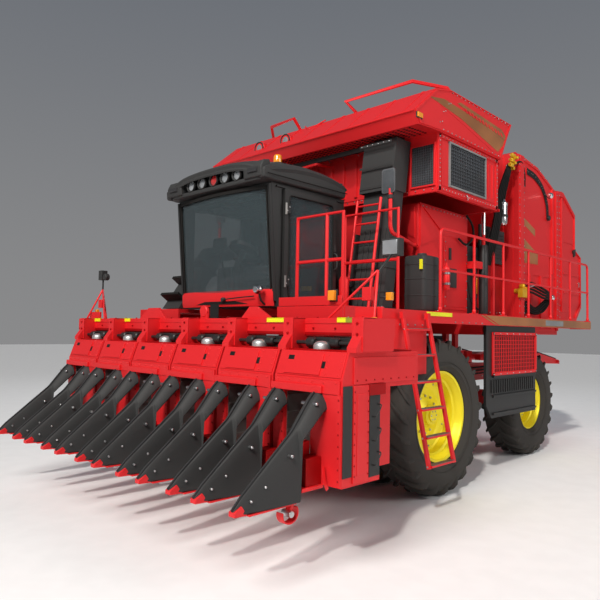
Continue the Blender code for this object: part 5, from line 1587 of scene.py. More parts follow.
class PICKER_OT_housing(bpy.types.Operator):
    """Lower housing, ducts, ladder, mirrors, tanks, canister and hoses behind the cab"""
    bl_idname = "picker.housing"
    bl_label = "Lower housing and ducts"

    def execute(self, context):
        for side, word in SIDES:
            self.side_wall(side, word)
            self.duct(side, word)
            self.mirror(side, word)
        self.front_wall()
        self.tanks()
        return {"FINISHED"}

    def side_wall(self, side, word):
        """Plates, doors, bolts, canisters, hoses and valves on one side of the lower housing."""
        pile = Pile(f"housing_side_{word}")
        wall = Wall(pile, 1.45, side)
        wall.plate([(0.06, 3.1), (0.06, 3.64), (1.27, 3.64), (1.27, 3.3), (0.62, 3.3)], 0, 0.01)
        wall.plate([(0.1, 3.6), (0.55, 3.34), (0.6, 3.36), (0.6, 3.6)], 0.01, 0.02)
        wall.panel(0.64, 2.3, 1.26, 3.26, 0, 0.012)
        wall.panel(0.68, 2.34, 1.22, 3.22, 0.012, 0.006)
        wall.panel(0.74, 2.98, 0.79, 3.14, 0.018, 0.016, "black_plastic")
        wall.panel(0.7, 2.6, 0.92, 2.86, 0.018, 0.022, "black_plastic")
        wall.bolts((0.66, 2.34), (0.66, 3.22), 8, 0.01, out=0.014)
        wall.bolts((1.24, 2.34), (1.24, 3.22), 8, 0.01, out=0.014)
        wall.bolts((0.1, 3.62), (1.24, 3.62), 14, 0.01, out=0.012)
        wall.panel(0.08, 2.3, 0.56, 3.02, 0, 0.01)
        wall.bolts((0.11, 2.34), (0.11, 2.98), 6, 0.01, out=0.012)
        loop = [(0.03, 0.98, 3.3), (0.08, 1.1, 3.22), (0.1, 1.26, 3.34), (0.08, 1.28, 3.52),
                (0.03, 1.2, 3.66)]
        wall.tube(loop, 0.016, "gasket_rubber")
        bottle = [(0.0, -0.17), (0.04, -0.17), (0.045, -0.15), (0.045, 0.12), (0.03, 0.15),
                  (0.014, 0.16), (0.014, 0.2), (0.0, 0.2)]
        wall.add(lathe(bottle, 24, (1.52, 0.6, 2.72), "Z"))
        ring = [(0.046, -0.1), (0.052, -0.1), (0.052, -0.07), (0.046, -0.07)]
        wall.add(copies(lathe(ring, 24, (1.52, 0.6, 2.72), "Z"), [(0, 0, 0), (0, 0, 0.14)]),
                 "zinc_steel")
        for y in np.linspace(0.16, 0.5, 4):
            wall.panel(y, 2.36, y + 0.02, 2.96, 0.01, 0.01)
        barrel = [(0.0505, 0.0), (0.064, 0.0), (0.064, 0.9), (0.058, 0.92), (0.058, 0.985),
                  (0.0505, 0.99)]
        wall.add(lathe(barrel, 28, (1.6, 1.48, 2.26), "Z", True), "black_paint")
        wall.tube([(0.1, 1.43, 2.32), (0.04, 1.36, 2.4), (0.02, 1.3, 2.6), (0.0, 1.26, 2.9)], 0.012,
                  "gasket_rubber")
        wall.panel(1.64, 3.08, 2.02, 3.6, -0.02, 0.03, "black_plastic")
        wall.panel(2.06, 3.06, 2.44, 3.58, -0.02, 0.03, "black_plastic")
        for y0 in (1.68, 2.1):
            for z in np.linspace(3.14, 3.5, 8):
                wall.panel(y0, z, y0 + 0.3, z + 0.018, 0.01, 0.012, "panel_grey")
        # Painted shade: a panel of the darker red sunk into the wall.
        wall.panel(1.62, 2.26, 2.46, 3.03, -0.03, 0.02, "shaded_red")
        wall.bolts((1.66, 2.3), (2.42, 2.3), 8, 0.01, out=0.0)
        can = [(0.0, -0.2), (0.05, -0.2), (0.07, -0.18), (0.075, -0.15), (0.075, 0.1), (0.082, 0.11),
               (0.082, 0.14), (0.06, 0.16), (0.04, 0.2), (0.0, 0.2)]
        wall.add(lathe(can, 28, (1.56, 2.16, 3.84), "Z"), "chrome_plate")
        wall.add(lathe([(0.076, -0.08), (0.083, -0.08), (0.083, -0.04), (0.076, -0.04)], 28,
                       (1.56, 2.16, 3.84), "Z"), "black_plastic")
        for number in range(5):
            y = 1.66 + number * 0.05
            hose = [(0.06, y, 3.0), (0.12, y + 0.05, 3.3), (0.14, y + 0.2, 3.75),
                    (0.12, y + 0.4, 4.2), (0.1, 2.36 + number * 0.03, 4.6),
                    (0.05, 2.52 + number * 0.02, 4.68)]
            wall.tube(hose, 0.018, "gasket_rubber")
        for number, level in enumerate((4.62, 4.7, 4.78)):
            wall.add(drum((1.6, 2.38 + number * 0.03, level), "Y", 0.034, 0.1, 14), "valve_yellow")
            wall.add(drum((1.56 + number * 0.03, 2.46, level - 0.04), "X", 0.026, 0.12, 12),
                     "valve_yellow")
        wall.add(block((1.52, 1.86, 2.26), (1.56, 1.92, 4.1)))
        pile.build("chassis")

    def duct(self, side, word):
        """Suction duct ribs, its sleeve strap and rubber boot.

        The duct's front leans back: front = foot + slope (height above the deck).
        """
        pile = Pile(f"duct_trim_{word}")
        foot_y, slope = -0.736, 0.15
        for level in (2.45, 2.75, 3.05):
            front = foot_y + slope * (level - DECK_TOP)
            outline = [(0.97, front - 0.008), (1.45, front - 0.008), (1.45, front + 0.21),
                       (0.97, front + 0.21)]
            pile.add(sided(prism(outline, "Z", level, level + 0.016), side), "black_plastic")
        for x in (1.06, 1.14, 1.22, 1.3, 1.38):
            strip = [(x, foot_y + slope * (z - DECK_TOP) - 0.004, z) for z in np.linspace(2.3, 3.24, 6)]
            pile.add(sided(bar(strip, 0.02, 0.014), side), "black_plastic")
        foot = [(0.955, -0.752), (1.465, -0.752), (1.465, -0.51), (0.955, -0.51)]
        pile.add(sided(prism(foot, "Z", 2.234, 2.27), side), "black_paint")
        pile.add(sided(bolt_row((0.99, -0.74, 2.275), (1.44, -0.74, 2.275), 6, "Z", 0.011), side),
                 "zinc_steel")
        lobe = [(0.9, -0.7, 2.28), (0.905, -0.64, 2.7), (0.915, -0.58, 3.2)]
        pile.add(sided(pipe(curve_through(lobe), 0.045, 12), side), "black_plastic")
        if side == RIGHT:
            lower = [(-1.93, 2.24), (-1.72, 2.24), (-1.2, 2.94), (-0.745, 3.02), (-0.745, 3.24),
                     (-1.28, 3.14)]
            pile.add(prism(lower, "X", -1.4, -1.02), "black_plastic")
            for y, z in ((-1.8, 2.36), (-1.62, 2.6), (-1.44, 2.84)):
                collar = [(y - 0.16, z + 0.07), (y + 0.12, z - 0.13), (y + 0.14, z - 0.1),
                          (y - 0.14, z + 0.1)]
                pile.add(prism(collar, "X", -1.415, -1.005), "gasket_rubber")
        pile.build("chassis")
        strap = Pile(f"duct_strap_{word}")
        low = span("duct_sleeves")[0]
        for level in (3.76, 4.02, 4.3):
            band = block((0.965, low[1] - 0.004, level), (1.455, low[1] + 0.002, level + 0.03))
            strap.add(sided(band, side), "black_plastic")
        strap.add(sided(bolt_row((1.0, low[1] - 0.006, 4.315), (1.42, low[1] - 0.006, 4.315), 6, "Y",
                                 0.01), side), "zinc_steel")
        strap.build("hopper", bevel=0.002)

    def mirror(self, side, word):
        """Mirror head: a rounded black shell with its glass, on a bent tube, facing forward to the driver."""
        pile = Pile(f"mirror_head_{word}")
        route = [(1.4, 0.045, 3.1), (1.4, -0.04, 3.1), (1.52, -0.34, 3.1), (1.6, -0.77, 3.14),
                 (1.6, -0.81, 3.22), (1.6, -0.81, 3.66)]
        pile.add(sided(pipe(rounded(route, 0.05), 0.024, 14), side))
        outline = smooth_outline([(1.485, 3.605), (1.675, 3.605), (1.675, 3.895), (1.485, 3.895)], 0.035)
        pile.add(sided(softened(outline, "Y", -0.826, -0.79, 0.014), side), "black_plastic")
        glass = smooth_outline([(1.5, 3.62), (1.66, 3.62), (1.66, 3.88), (1.5, 3.88)], 0.025)
        pile.add(sided(prism(outline, "Y", -0.8285, -0.8262), side), "zinc_steel")
        pile.add(sided(prism(glass, "Y", -0.8305, -0.8285), side), "mirror_glass")
        pile.add(sided(prism(glass, "Y", -0.79, -0.787), side), "mirror_glass")
        pile.add(sided(drum((1.6, -0.81, 3.56), "Z", 0.034, 0.05, 16), side), "black_plastic")
        pile.add(sided(drum((1.4, 0.04, 3.1), "Y", 0.045, 0.014, 16), side))
        pile.build("chassis", bevel=0.0, smooth=35, stands_for=(f"mirror_{word}",))

    def front_wall(self):
        """Between the cab and the hopper: bulkhead panels and the ladder's round rungs."""
        pile = Pile("housing_front")
        for side in (1, -1):
            funnel = [(side * 1.44, 3.64), (side * 1.02, 3.64), (side * 1.1, 3.4), (side * 1.3, 3.18),
                      (side * 1.44, 3.1)]
            pile.add(prism(funnel, "Y", 0.012, 0.05))
            inner = [(side * 1.4, 3.6), (side * 1.1, 3.6), (side * 1.16, 3.42), (side * 1.32, 3.24),
                     (side * 1.4, 3.2)]
            pile.add(prism(inner, "Y", -0.004, 0.014))
            near, far = sorted((side * 1.04, side * 1.42))
            pile.add(block((near, 0.036, 2.3), (far, 0.05, 2.98)))
            pile.add(bolt_row((near + 0.03, 0.032, 2.36), (near + 0.03, 0.032, 2.92), 5, "Y", 0.01),
                     "zinc_steel")
        pile.add(bolt_row((-1.4, 0.046, 3.62), (1.4, 0.046, 3.62), 16, "Y", 0.01), "zinc_steel")
        pile.build("chassis")
        ladder = Pile("hopper_ladder_rungs")
        box_low, box_high = span("hopper_ladder")
        for x in (box_low[0] + 0.018, box_high[0] - 0.018):
            rail = line((x, -0.875, box_low[2] + 0.004), (x, box_high[1] - 0.02, box_high[2] - 0.004), 4)
            ladder.add(pipe(rail, 0.019, 12))
        for share in np.linspace(0.1, 0.94, 6):
            y = -0.875 + (box_high[1] - 0.02 + 0.875) * share
            z = box_low[2] + (box_high[2] - box_low[2]) * share
            ladder.add(pipe(line((box_low[0] + 0.01, y, z), (box_high[0] - 0.01, y, z), 2), 0.013, 10))
        ladder.build("chassis", bevel=0.0, smooth=40, stands_for=("hopper_ladder",))

    def tanks(self):
        """The water tank, moulded with bands and a cap, and the oil tank's bands, cap and gauge."""
        pile = Pile("water_tank_moulded")
        low, high = span("water_tank")
        outline = smooth_outline([(low[0], low[1]), (high[0], low[1]), (high[0], high[1]),
                                  (low[0], high[1])], 0.045)
        pile.add(softened(outline, "Z", low[2], high[2], 0.03), "black_plastic")
        for level in (2.42, 2.62, 2.8):
            ring = smooth_outline([(low[0] - 0.004, low[1] - 0.004), (high[0] + 0.004, low[1] - 0.004),
                                   (high[0] + 0.004, high[1] + 0.004),
                                   (low[0] - 0.004, high[1] + 0.004)], 0.045)
            pile.add(softened(ring, "Z", level, level + 0.018, 0.006), "black_plastic")
        middle = (low + high) / 2
        cap = [(0.0, 0.0), (0.06, 0.0), (0.062, 0.02), (0.055, 0.04), (0.0, 0.045)]
        pile.add(lathe(cap, 24, (middle[0], middle[1], high[2] - 0.004), "Z"), "black_plastic")
        pile.add(block((high[0] - 0.05, low[1] - 0.03, 2.74), (high[0] - 0.02, low[1] - 0.002, 2.86)),
                 "yellow_tape")
        pile.build("chassis", bevel=0.0, smooth=35, stands_for=("water_tank",), finish="black_plastic")
        oil = Pile("oil_tank_trim")
        low, high = span("hydraulic_tank")
        for level in (2.5, 2.85, 3.1):
            oil.add(block((low[0] - 0.004, low[1] - 0.004, level),
                          (high[0] + 0.012, high[1] + 0.004, level + 0.035)), "black_paint")
        oil.add(lathe(cap, 24, ((low[0] + high[0]) / 2, 1.5, high[2]), "Z"), "black_paint")
        oil.add(block((high[0], 1.6, 2.56), (high[0] + 0.012, 1.64, 2.8)), "amber_lens")
        oil.build("chassis", smooth=35)


# ---- Module builder and chassis -----------------------------------------------------------------
class PICKER_OT_chamber(bpy.types.Operator):
    """Module chamber: column, guide slot, patches, seams; gate panels, ribs and cylinders"""
    bl_idname = "picker.chamber"
    bl_label = "Module chamber and gate"

    def execute(self, context):
        for side, word in SIDES:
            self.chamber(side, word)
            self.gate(side, word)
        self.front_and_top()
        self.handler()
        return {"FINISHED"}

    def chamber(self, side, word):
        """Plates, stripes, curved slot, hoses and valves on one side of the module chamber."""
        pile = Pile(f"chamber_side_{word}")
        wall = Wall(pile, 1.5, side)
        wall.panel(2.66, 2.0, 2.86, 4.86, 0, 0.1)
        wall.panel(2.7, 2.0, 2.82, 4.84, 0.1, 0.012)
        wall.bolts((2.68, 2.1), (2.68, 4.8), 26, 0.011, out=0.104)
        wall.bolts((2.84, 2.1), (2.84, 4.8), 26, 0.011, out=0.104)
        arc = curve_through([(3.16, 4.7), (3.5, 4.66), (3.8, 4.52), (3.98, 4.28), (4.02, 4.04)], 0.05)
        middle = np.array((3.2, 3.9))
        outward = unit(arc - middle)
        strip = np.vstack((arc + outward * 0.045, (arc - outward * 0.045)[::-1]))
        wall.plate(strip, 0.0, 0.01)
        # Painted shade: a thin black plate stands for the dark inside of the curved slot.
        slot = np.vstack((arc + outward * 0.055, (arc - outward * 0.055)[::-1]))
        wall.plate(slot, 0.01, 0.004, "black_label")
        wall.add(drum((1.53, 4.02, 4.03), "X", 0.045, 0.05, 20), "black_paint")
        for number in range(14):
            at = arc[int(number * (len(arc) - 1) / 13)]
            wall.add(drum((1.518, *at), "X", 0.008, 0.014, 6), "bare_steel")
        wall.plate([(2.98, 3.93), (3.51, 3.76), (3.51, 3.64), (3.03, 3.8)], 0.0, 0.003, "gold_stripe")
        wall.plate([(2.93, 3.61), (3.62, 3.35), (3.62, 3.17), (2.93, 3.15)], 0.0, 0.003, "gold_stripe")
        wall.panel(2.9, 2.98, 4.42, 3.02, 0, 0.012)
        wall.panel(2.9, 2.05, 4.42, 2.09, 0, 0.012)
        for y in (3.3, 3.72, 4.14):
            wall.plate([(y - 0.04, 2.09), (y + 0.04, 2.09), (y + 0.04, 2.98), (y - 0.04, 2.98)], 0,
                       0.03)
        wall.panel(4.2, 3.05, 4.24, 4.58, 0, 0.03)
        wall.panel(4.36, 2.05, 4.44, 4.56, 0, 0.03)
        wall.bolts((4.4, 2.12), (4.4, 4.5), 24, 0.01, out=0.034)
        top = [(2.88, 4.92), (3.6, 4.84), (4.25, 4.61), (4.25, 4.56), (3.6, 4.79), (2.88, 4.87)]
        wall.plate(top, 0, 0.016)
        for y, z in ((3.0, 4.86), (3.3, 4.83), (3.6, 4.79), (3.9, 4.7)):
            wall.bolts((y, z + 0.02), (y + 0.1, z + 0.005), 2, 0.009, out=0.018)
        globe = [(0.0, -0.05), (0.035, -0.045), (0.052, -0.02), (0.055, 0.01), (0.045, 0.04),
                 (0.0, 0.05)]
        for y, z in ((3.91, 4.4), (3.96, 2.62)):
            wall.add(lathe(globe, 24, (1.6, y, z), "Y"), "chrome_plate")
            wall.add(block((1.5, y - 0.02, z - 0.012), (1.56, y + 0.02, z + 0.012)), "black_paint")
        for number in range(4):
            high = 2.56 + number * 0.05
            loop = [(0.04, 2.72, high), (0.14, 2.95, high + 0.1), (0.22, 3.3, high + 0.02),
                    (0.2, 3.62, high - 0.02 * number),
                    (0.12, 3.56, high - 0.18), (0.08, 3.3, high - 0.24 - 0.02 * number),
                    (0.05, 3.05, high - 0.2), (0.03, 2.98, high - 0.3)]
            wall.tube(loop, 0.019, "gasket_rubber")
        for number, place in enumerate(((2.66, 2.66), (2.74, 2.62), (2.7, 2.74), (2.82, 2.7))):
            wall.add(drum((1.58 + 0.02 * number, *place), "X", 0.036, 0.11, 14), "valve_yellow")
        wall.add(block((1.6, 2.62, 2.56), (1.68, 2.86, 2.7)), "valve_yellow")
        wall.add(pipe(line((1.66, 2.8, 2.72), (1.7, 3.02, 2.78), 2), 0.014, 10), "chrome_plate")
        wall.tube([(0.05, 2.5, 4.62), (0.1, 2.72, 4.74), (0.06, 2.95, 4.6), (0.04, 3.0, 4.4)],
                  0.018, "gasket_rubber")
        pile.build("chassis")

    def gate(self, side, word):
        """Rim, ribs and lamp on one side of the rear gate: the rim is the outline drawn 7% inwards."""
        pile = Pile(f"gate_side_{word}")
        wall = Wall(pile, 1.5, side)
        outline = [(4.47, 4.585), (4.72, 4.61), (5.305, 4.275), (5.295, 3.6), (5.605, 3.48),
                   (5.605, 2.51), (5.295, 2.215), (4.47, 2.215)]
        middle = np.mean(outline, 0)
        rim = np.array(outline + outline[:1])
        for start, end in zip(rim, rim[1:]):
            wall.plate([start, end, end + (middle - end) * 0.07, start + (middle - start) * 0.07], 0,
                       0.024)
        wall.bolts((4.52, 2.3), (4.52, 4.52), 22, 0.01, out=0.028)
        wall.panel(4.62, 2.4, 4.66, 4.5, 0, 0.03)
        wall.plate([(4.72, 3.7), (5.22, 3.7), (5.22, 4.2), (4.76, 4.44), (4.72, 4.44)], 0, 0.01)
        wall.plate([(4.72, 2.4), (5.26, 2.4), (5.5, 2.6), (5.5, 3.4), (5.22, 3.52), (4.72, 3.52)],
                   0, 0.01)
        for z in (2.75, 3.1):
            wall.panel(4.72, z, 5.5, z + 0.035, 0.01, 0.016)
        wall.plate([(5.2, 3.58), (5.3, 3.62), (5.3, 3.5), (5.22, 3.46)], 0.004, 0.03, "black_paint")
        wall.panel(5.44, 2.9, 5.54, 3.0, 0.01, 0.012, "red_lens")
        pile.build("rear_gate")

    def front_and_top(self):
        """Seams over the chamber's top and front, then ribs and lamps on the gate's back."""
        pile = Pile("chamber_seams")
        for x in np.linspace(-1.3, 1.3, 7):
            for start, end in (((2.78, 4.925), (3.6, 4.85)), ((3.6, 4.85), (4.25, 4.62))):
                pile.add(bar(np.array(((x, start[0], start[1] + 0.004), (x, end[0], end[1] + 0.004))),
                             0.03, 0.02))
        for x in (-1.32, -0.44, 0.44, 1.32):
            pile.add(block((x - 0.03, 2.626, 2.02), (x + 0.03, 2.652, 2.86)))
            pile.add(block((x - 0.03, 2.626, 3.54), (x + 0.03, 2.652, 4.84)))
        pile.add(bolt_row((-1.4, 2.644, 4.7), (1.4, 2.644, 4.7), 18, "Y", 0.011), "zinc_steel")
        pile.build("chassis")
        back = Pile("gate_back")
        for x in np.linspace(-1.35, 1.35, 7):
            back.add(block((x - 0.03, 5.616, 2.54), (x + 0.03, 5.64, 3.46)))
            back.add(block((x - 0.03, 5.306, 3.66), (x + 0.03, 5.335, 4.26)))
        for z in (2.56, 3.0, 3.43):
            back.add(block((-1.42, 5.616, z - 0.025), (1.42, 5.632, z + 0.025)))
        for side in (LEFT, RIGHT):
            near, far = sorted((side * 1.1, side * 1.4))
            back.add(block((near, 5.64, 2.62), (far, 5.665, 2.74)), "black_plastic")
            back.add(block((near + 0.01, 5.663, 2.63), (far - 0.01, 5.672, 2.73)), "red_lens")
        back.build("rear_gate")

    def handler(self):
        """The module handler: rollers and rubber pads between the arms."""
        pile = Pile("handler_rollers")
        for y, z in ((5.35, 1.585), (5.75, 1.53)):
            for x0, x1 in ((-0.735, -0.285), (-0.155, 0.155), (0.285, 0.735)):
                centre = ((x0 + x1) / 2, y, z - 0.03)
                pile.add(drum(centre, "X", 0.045, x1 - x0, 20, 0.1), "bare_steel")
        for x in (-0.8, -0.22, 0.22, 0.8):
            strip = np.array(((x, 5.2, 1.625), (x, 5.7, 1.548), (x, 6.2, 1.466)))
            pile.add(bar(strip, 0.06, 0.012), "gasket_rubber")
        pile.build("module_handler", bevel=0.002, smooth=35)


class PICKER_OT_decks(bpy.types.Operator):
    """Walkway plating, handrails, ladders, guards and stripes"""
    bl_idname = "picker.decks"
    bl_label = "Decks and rails"

    def execute(self, context):
        for side, word in SIDES:
            self.deck(side, word)
            self.rail(side, word)
            self.guard(side, word)
        self.access()
        self.platform()
        return {"FINISHED"}

    def deck(self, side, word):
        """Deck studs on a 0.05 m grid, the skirt's stripes and bolts, and the apron's plate."""
        pile = Pile(f"deck_plating_{word}")
        rear = span(f"deck_{word}")[1][1]
        tread = [(x, y, DECK_TOP)
                 for y in np.arange(-1.9, -0.95, 0.05) for x in np.arange(1.02, 1.8, 0.05)]
        tread += [(x, y, DECK_TOP)
                  for y in np.arange(0.12, rear - 0.08, 0.05) for x in np.arange(1.58, 1.82, 0.05)]
        stud = prism([(0, -0.014), (0.006, 0), (0, 0.014), (-0.006, 0)], "Z", 0.0, 0.004)
        pile.add(sided(copies(stud, tread), side), "bare_steel")
        reach = 1.877
        skirt = Wall(pile, reach, side)
        skirt.panel(-1.95, 2.095, -1.62, 2.225, 0, 0.006)
        start = 0.98
        skirt.plate([(start, 2.222), (rear, 2.222), (rear, 2.1), (start + 0.42, 2.1)], 0, 0.006,
                    "gold_stripe")
        skirt.plate([(3.0, 2.205), (3.72, 2.205), (3.72, 2.12), (3.0, 2.12)], 0.006, 0.004,
                    "grey_patch")
        skirt.plate([(start - 0.12, 2.222), (start - 0.05, 2.222), (start + 0.37, 2.1),
                     (start + 0.3, 2.1)], 0, 0.006, "gold_stripe")
        skirt.panel(-0.45, 2.175, 0.12, 2.222, 0, 0.006, "yellow_tape")
        skirt.bolts((0.2, 2.112), (0.9, 2.112), 5, 0.01)
        skirt.bolts((-1.9, 2.112), (-1.65, 2.112), 3, 0.01)
        apron = Wall(pile, 1.907, side)
        apron.plate([(-1.56, 2.1), (-0.54, 2.1), (-0.54, 1.54), (-0.72, 1.54), (-1.56, 1.91)], 0,
                    0.006)
        apron.bolts((-1.5, 2.06), (-0.6, 2.06), 7, 0.011)
        pile.build("chassis", bevel=0.0, smooth=30)

    def rail(self, side, word):
        """Smooth handrail: round posts, top and middle rails, base plates and clamps."""
        low, high = span(f"handrail_{word}")
        pile = Pile(f"handrail_tubes_{word}")
        radius = sizes().rail
        x = 1.842
        top, bottom = DECK_TOP + RAIL_HIGH, 2.233
        front, rear = low[1] + 0.02, high[1] - 0.02
        pile.add(sided(pipe(rounded([(x, front, bottom), (x, front, top - 0.02), (x, rear, top - 0.02),
                                     (x, rear, bottom)], 0.09, 6), radius, 14), side))
        pile.add(sided(pipe(line((x, front, bottom + 0.52), (x, rear, bottom + 0.52), 2), radius * 0.85,
                            12), side))
        for y in np.linspace(front, rear, 7):
            if front < y < rear:
                pile.add(sided(pipe(line((x, y, bottom), (x, y, top - 0.03), 2), radius * 0.95, 12),
                               side))
            pile.add(sided(block((x - 0.045, y - 0.045, bottom - 0.002),
                                 (x + 0.034, y + 0.045, bottom + 0.01)), side))
            pile.add(sided(drum((x, y, bottom + 0.035), "Z", radius * 1.35, 0.05, 14), side))
            pile.add(sided(drum((x - 0.03, y, bottom + 0.012), "Z", 0.008, 0.012, 6), side),
                     "zinc_steel")
        pile.build("chassis", bevel=0.0, smooth=45, stands_for=(f"handrail_{word}",))

    def guard(self, side, word):
        """Behind the drive wheel: a louvred black guard, and above it a red mesh guard over a black sheet
        that paints the shade behind the mesh.
        """
        pile = Pile(f"guard_trim_{word}")
        wall = Wall(pile, 1.84, side)
        for y in np.arange(1.24, 2.62, 0.07):
            wall.plate([(y, 1.16), (y + 0.026, 1.16), (y + 0.026, 1.34), (y, 1.34)], 0, 0.018,
                       "black_paint")
        for z in (0.86, 1.1, 1.37):
            wall.panel(1.28, z, 2.68, z + 0.03, 0, 0.024, "black_paint")
        # Painted shade: a black sheet behind the mesh stands for the dark space behind it.
        wall.panel(1.28, 1.42, 2.66, 1.98, 0.0, 0.004, "black_label")
        for y in np.arange(1.3, 2.66, 0.055):
            wall.panel(y, 1.42, y + 0.008, 1.98, 0.01, 0.008)
        for z in np.arange(1.44, 1.98, 0.055):
            wall.panel(1.28, z, 2.66, z + 0.008, 0.004, 0.008)
        for a, b, c, d in ((1.25, 1.4, 2.69, 1.44), (1.25, 1.96, 2.69, 2.0), (1.25, 1.4, 1.29, 2.0),
                           (2.65, 1.4, 2.69, 2.0)):
            wall.panel(a, b, c, d, 0.004, 0.024)
        wall.bolts((1.27, 1.42), (2.67, 1.42), 8, 0.01, out=0.03)
        wall.bolts((1.27, 1.98), (2.67, 1.98), 8, 0.01, out=0.03)
        pile.build("chassis", bevel=0.002, smooth=30)

    def access(self):
        """Access ladder: channel rails and grip treads."""
        pile = Pile("access_ladder_treads")
        foot, head = np.array((2.28, 0.55)), np.array((1.93, 2.17))
        for y in (-1.02, -0.52):
            rail = np.array(((foot[0], y, foot[1]), (head[0], y, head[1])))
            pile.add(bar(rail, 0.03, 0.052))
            pile.add(block((1.909, y - 0.03, 2.13), (1.955, y + 0.03, 2.2)))
        for share in np.linspace(0.015, 0.9, 6):
            x, z = foot + (head - foot) * share
            pile.add(block((x - 0.035, -1.005, z - 0.012), (x + 0.035, -0.535, z + 0.008)))
            tooth = block((x - 0.033, -1.0, z + 0.008), (x - 0.025, -0.54, z + 0.014))
            pile.add(copies(tooth, [(0.019 * k, 0, 0) for k in range(4)]), "bare_steel")
            pile.add(bolt_row((x, -1.04, z), (x, -1.04, z), 1, "Y", 0.012), "zinc_steel")
        pile.build("chassis", bevel=0.002, smooth=30, stands_for=("access_ladder",))

    def platform(self):
        """Platform furniture beside the cab: fire bottle, marker lamp and kick plates."""
        pile = Pile("platform_furniture")
        bottle = [(0.0, -0.2), (0.055, -0.2), (0.062, -0.18), (0.062, 0.14), (0.045, 0.18),
                  (0.016, 0.19), (0.016, 0.23), (0.0, 0.23)]
        pile.add(lathe(bottle, 28, (0.985, -0.9, 2.46), "Z"))
        pile.add(drum((0.985, -0.9, 2.69), "Z", 0.018, 0.03, 12), "black_plastic")
        pile.add(block((1.72, -2.03, 2.28), (1.8, -1.99, 2.38)), "amber_lens")
        pile.add(block((1.71, -1.99, 2.27), (1.81, -1.975, 2.39)), "black_plastic")
        pile.add(block((0.96, -1.978, 2.235), (1.86, -1.965, 2.33)))
        pile.build("chassis", smooth=35)


class PICKER_OT_underbody(bpy.types.Operator):
    """Engine, drive line, hoses, lift cylinders and frame details"""
    bl_idname = "picker.underbody"
    bl_label = "Underbody"

    def execute(self, context):
        low, high = span("engine_block")
        pile = Pile("engine_details")
        for side in (1, -1):
            x = side * (high[0] + 0.0)
            for y in np.linspace(low[1] + 0.1, high[1] - 0.1, 6):
                near, far = sorted((x, x + side * 0.05))
                pile.add(block((near, y - 0.055, low[2] + 0.2), (far, y + 0.055, high[2] - 0.06)),
                         "engine_iron")
            pile.add(pipe(line((x + side * 0.07, low[1] + 0.05, 1.8),
                               (x + side * 0.07, high[1] - 0.05, 1.8), 2), 0.045, 16), "cast_aluminium")
            pile.add(pipe(curve_through([(x + side * 0.07, low[1] + 0.1, 1.8),
                                         (x + side * 0.16, low[1] - 0.05, 1.92),
                                         (x + side * 0.2, 0.6, 1.9)]), 0.05, 16), "bare_steel")
        pile.add(drum((0, low[1] - 0.05, 1.68), "Y", 0.17, 0.07, 32), "engine_iron")
        pile.add(drum((0.26, low[1] - 0.04, 1.8), "Y", 0.08, 0.05, 24), "bare_steel")
        pile.add(drum((-0.26, low[1] - 0.04, 1.6), "Y", 0.1, 0.05, 24), "bare_steel")
        for y in np.linspace(low[1] + 0.12, high[1] - 0.12, 6):
            pile.add(drum((0.12, y, high[2] + 0.005), "Z", 0.035, 0.05, 14), "cast_aluminium")
        pile.build("chassis", bevel=0.004, smooth=35)
        line_pile = Pile("drive_line")
        line_pile.add(pipe(line((0, 0.2, 1.06), (0, 3.16, 1.02), 2), 0.045, 16), "bare_steel")
        line_pile.add(drum((0, 0.28, 1.06), "Y", 0.1, 0.16, 24), "engine_iron")
        line_pile.add(drum((0, 3.1, 1.02), "Y", 0.09, 0.12, 24), "engine_iron")
        for side in (1, -1):
            for number in range(3):
                x = side * (0.5 + 0.028 * number)
                run = [(x, -0.55, 1.4 - 0.05 * number), (x + side * 0.01, 0.4, 1.36 - 0.05 * number),
                       (x, 1.6, 1.4 - 0.05 * number),
                       (x + side * 0.01, 2.8, 1.37 - 0.05 * number), (x, 4.2, 1.4 - 0.05 * number)]
                line_pile.add(pipe(curve_through(run, 0.12), 0.013, 8), "gasket_rubber")
            for y in np.linspace(-0.4, 4.4, 13):
                line_pile.add(sided(drum((0.489, y, 1.22), "X", 0.014, 0.016, 6), side), "zinc_steel")
        line_pile.build("chassis", bevel=0.0, smooth=35)
        lift = Pile("lift_arm_trim")
        for side in (1, -1):
            for y, z in ((-0.7, 1.47), (-1.2, 1.66), (-1.9, 1.93)):
                lift.add(sided(drum((0.345, y, z - 0.02), "X", 0.022, 0.02, 16), side), "zinc_steel")
            for number in range(2):
                run = [(0.18 - 0.04 * number, -0.5, 1.48), (0.18 - 0.04 * number, -1.1, 1.7),
                       (0.17 - 0.04 * number, -1.7, 1.9), (0.17, -2.12, 2.02)]
                lift.add(sided(pipe(curve_through(run, 0.08), 0.014, 8), side), "gasket_rubber")
        lift.build("header", bevel=0.0, smooth=35)
        axle = Pile("front_axle_trim")
        for side in (1, -1):
            axle.add(sided(drum((0.4, 0, 0.955), "X", 0.17, 0.05, 32), side), "black_paint")
            axle.add(sided(around(drum((0.372, 0.14, 0.955), "X", 0.012, 0.02, 6), (0.372, 0, 0.955),
                                  10), side), "zinc_steel")
        axle.add(drum((0, 0.02, 0.955), "Y", 0.2, 0.3, 32), "black_paint")
        axle.build("chassis", bevel=0.004, smooth=35)
        return {"FINISHED"}


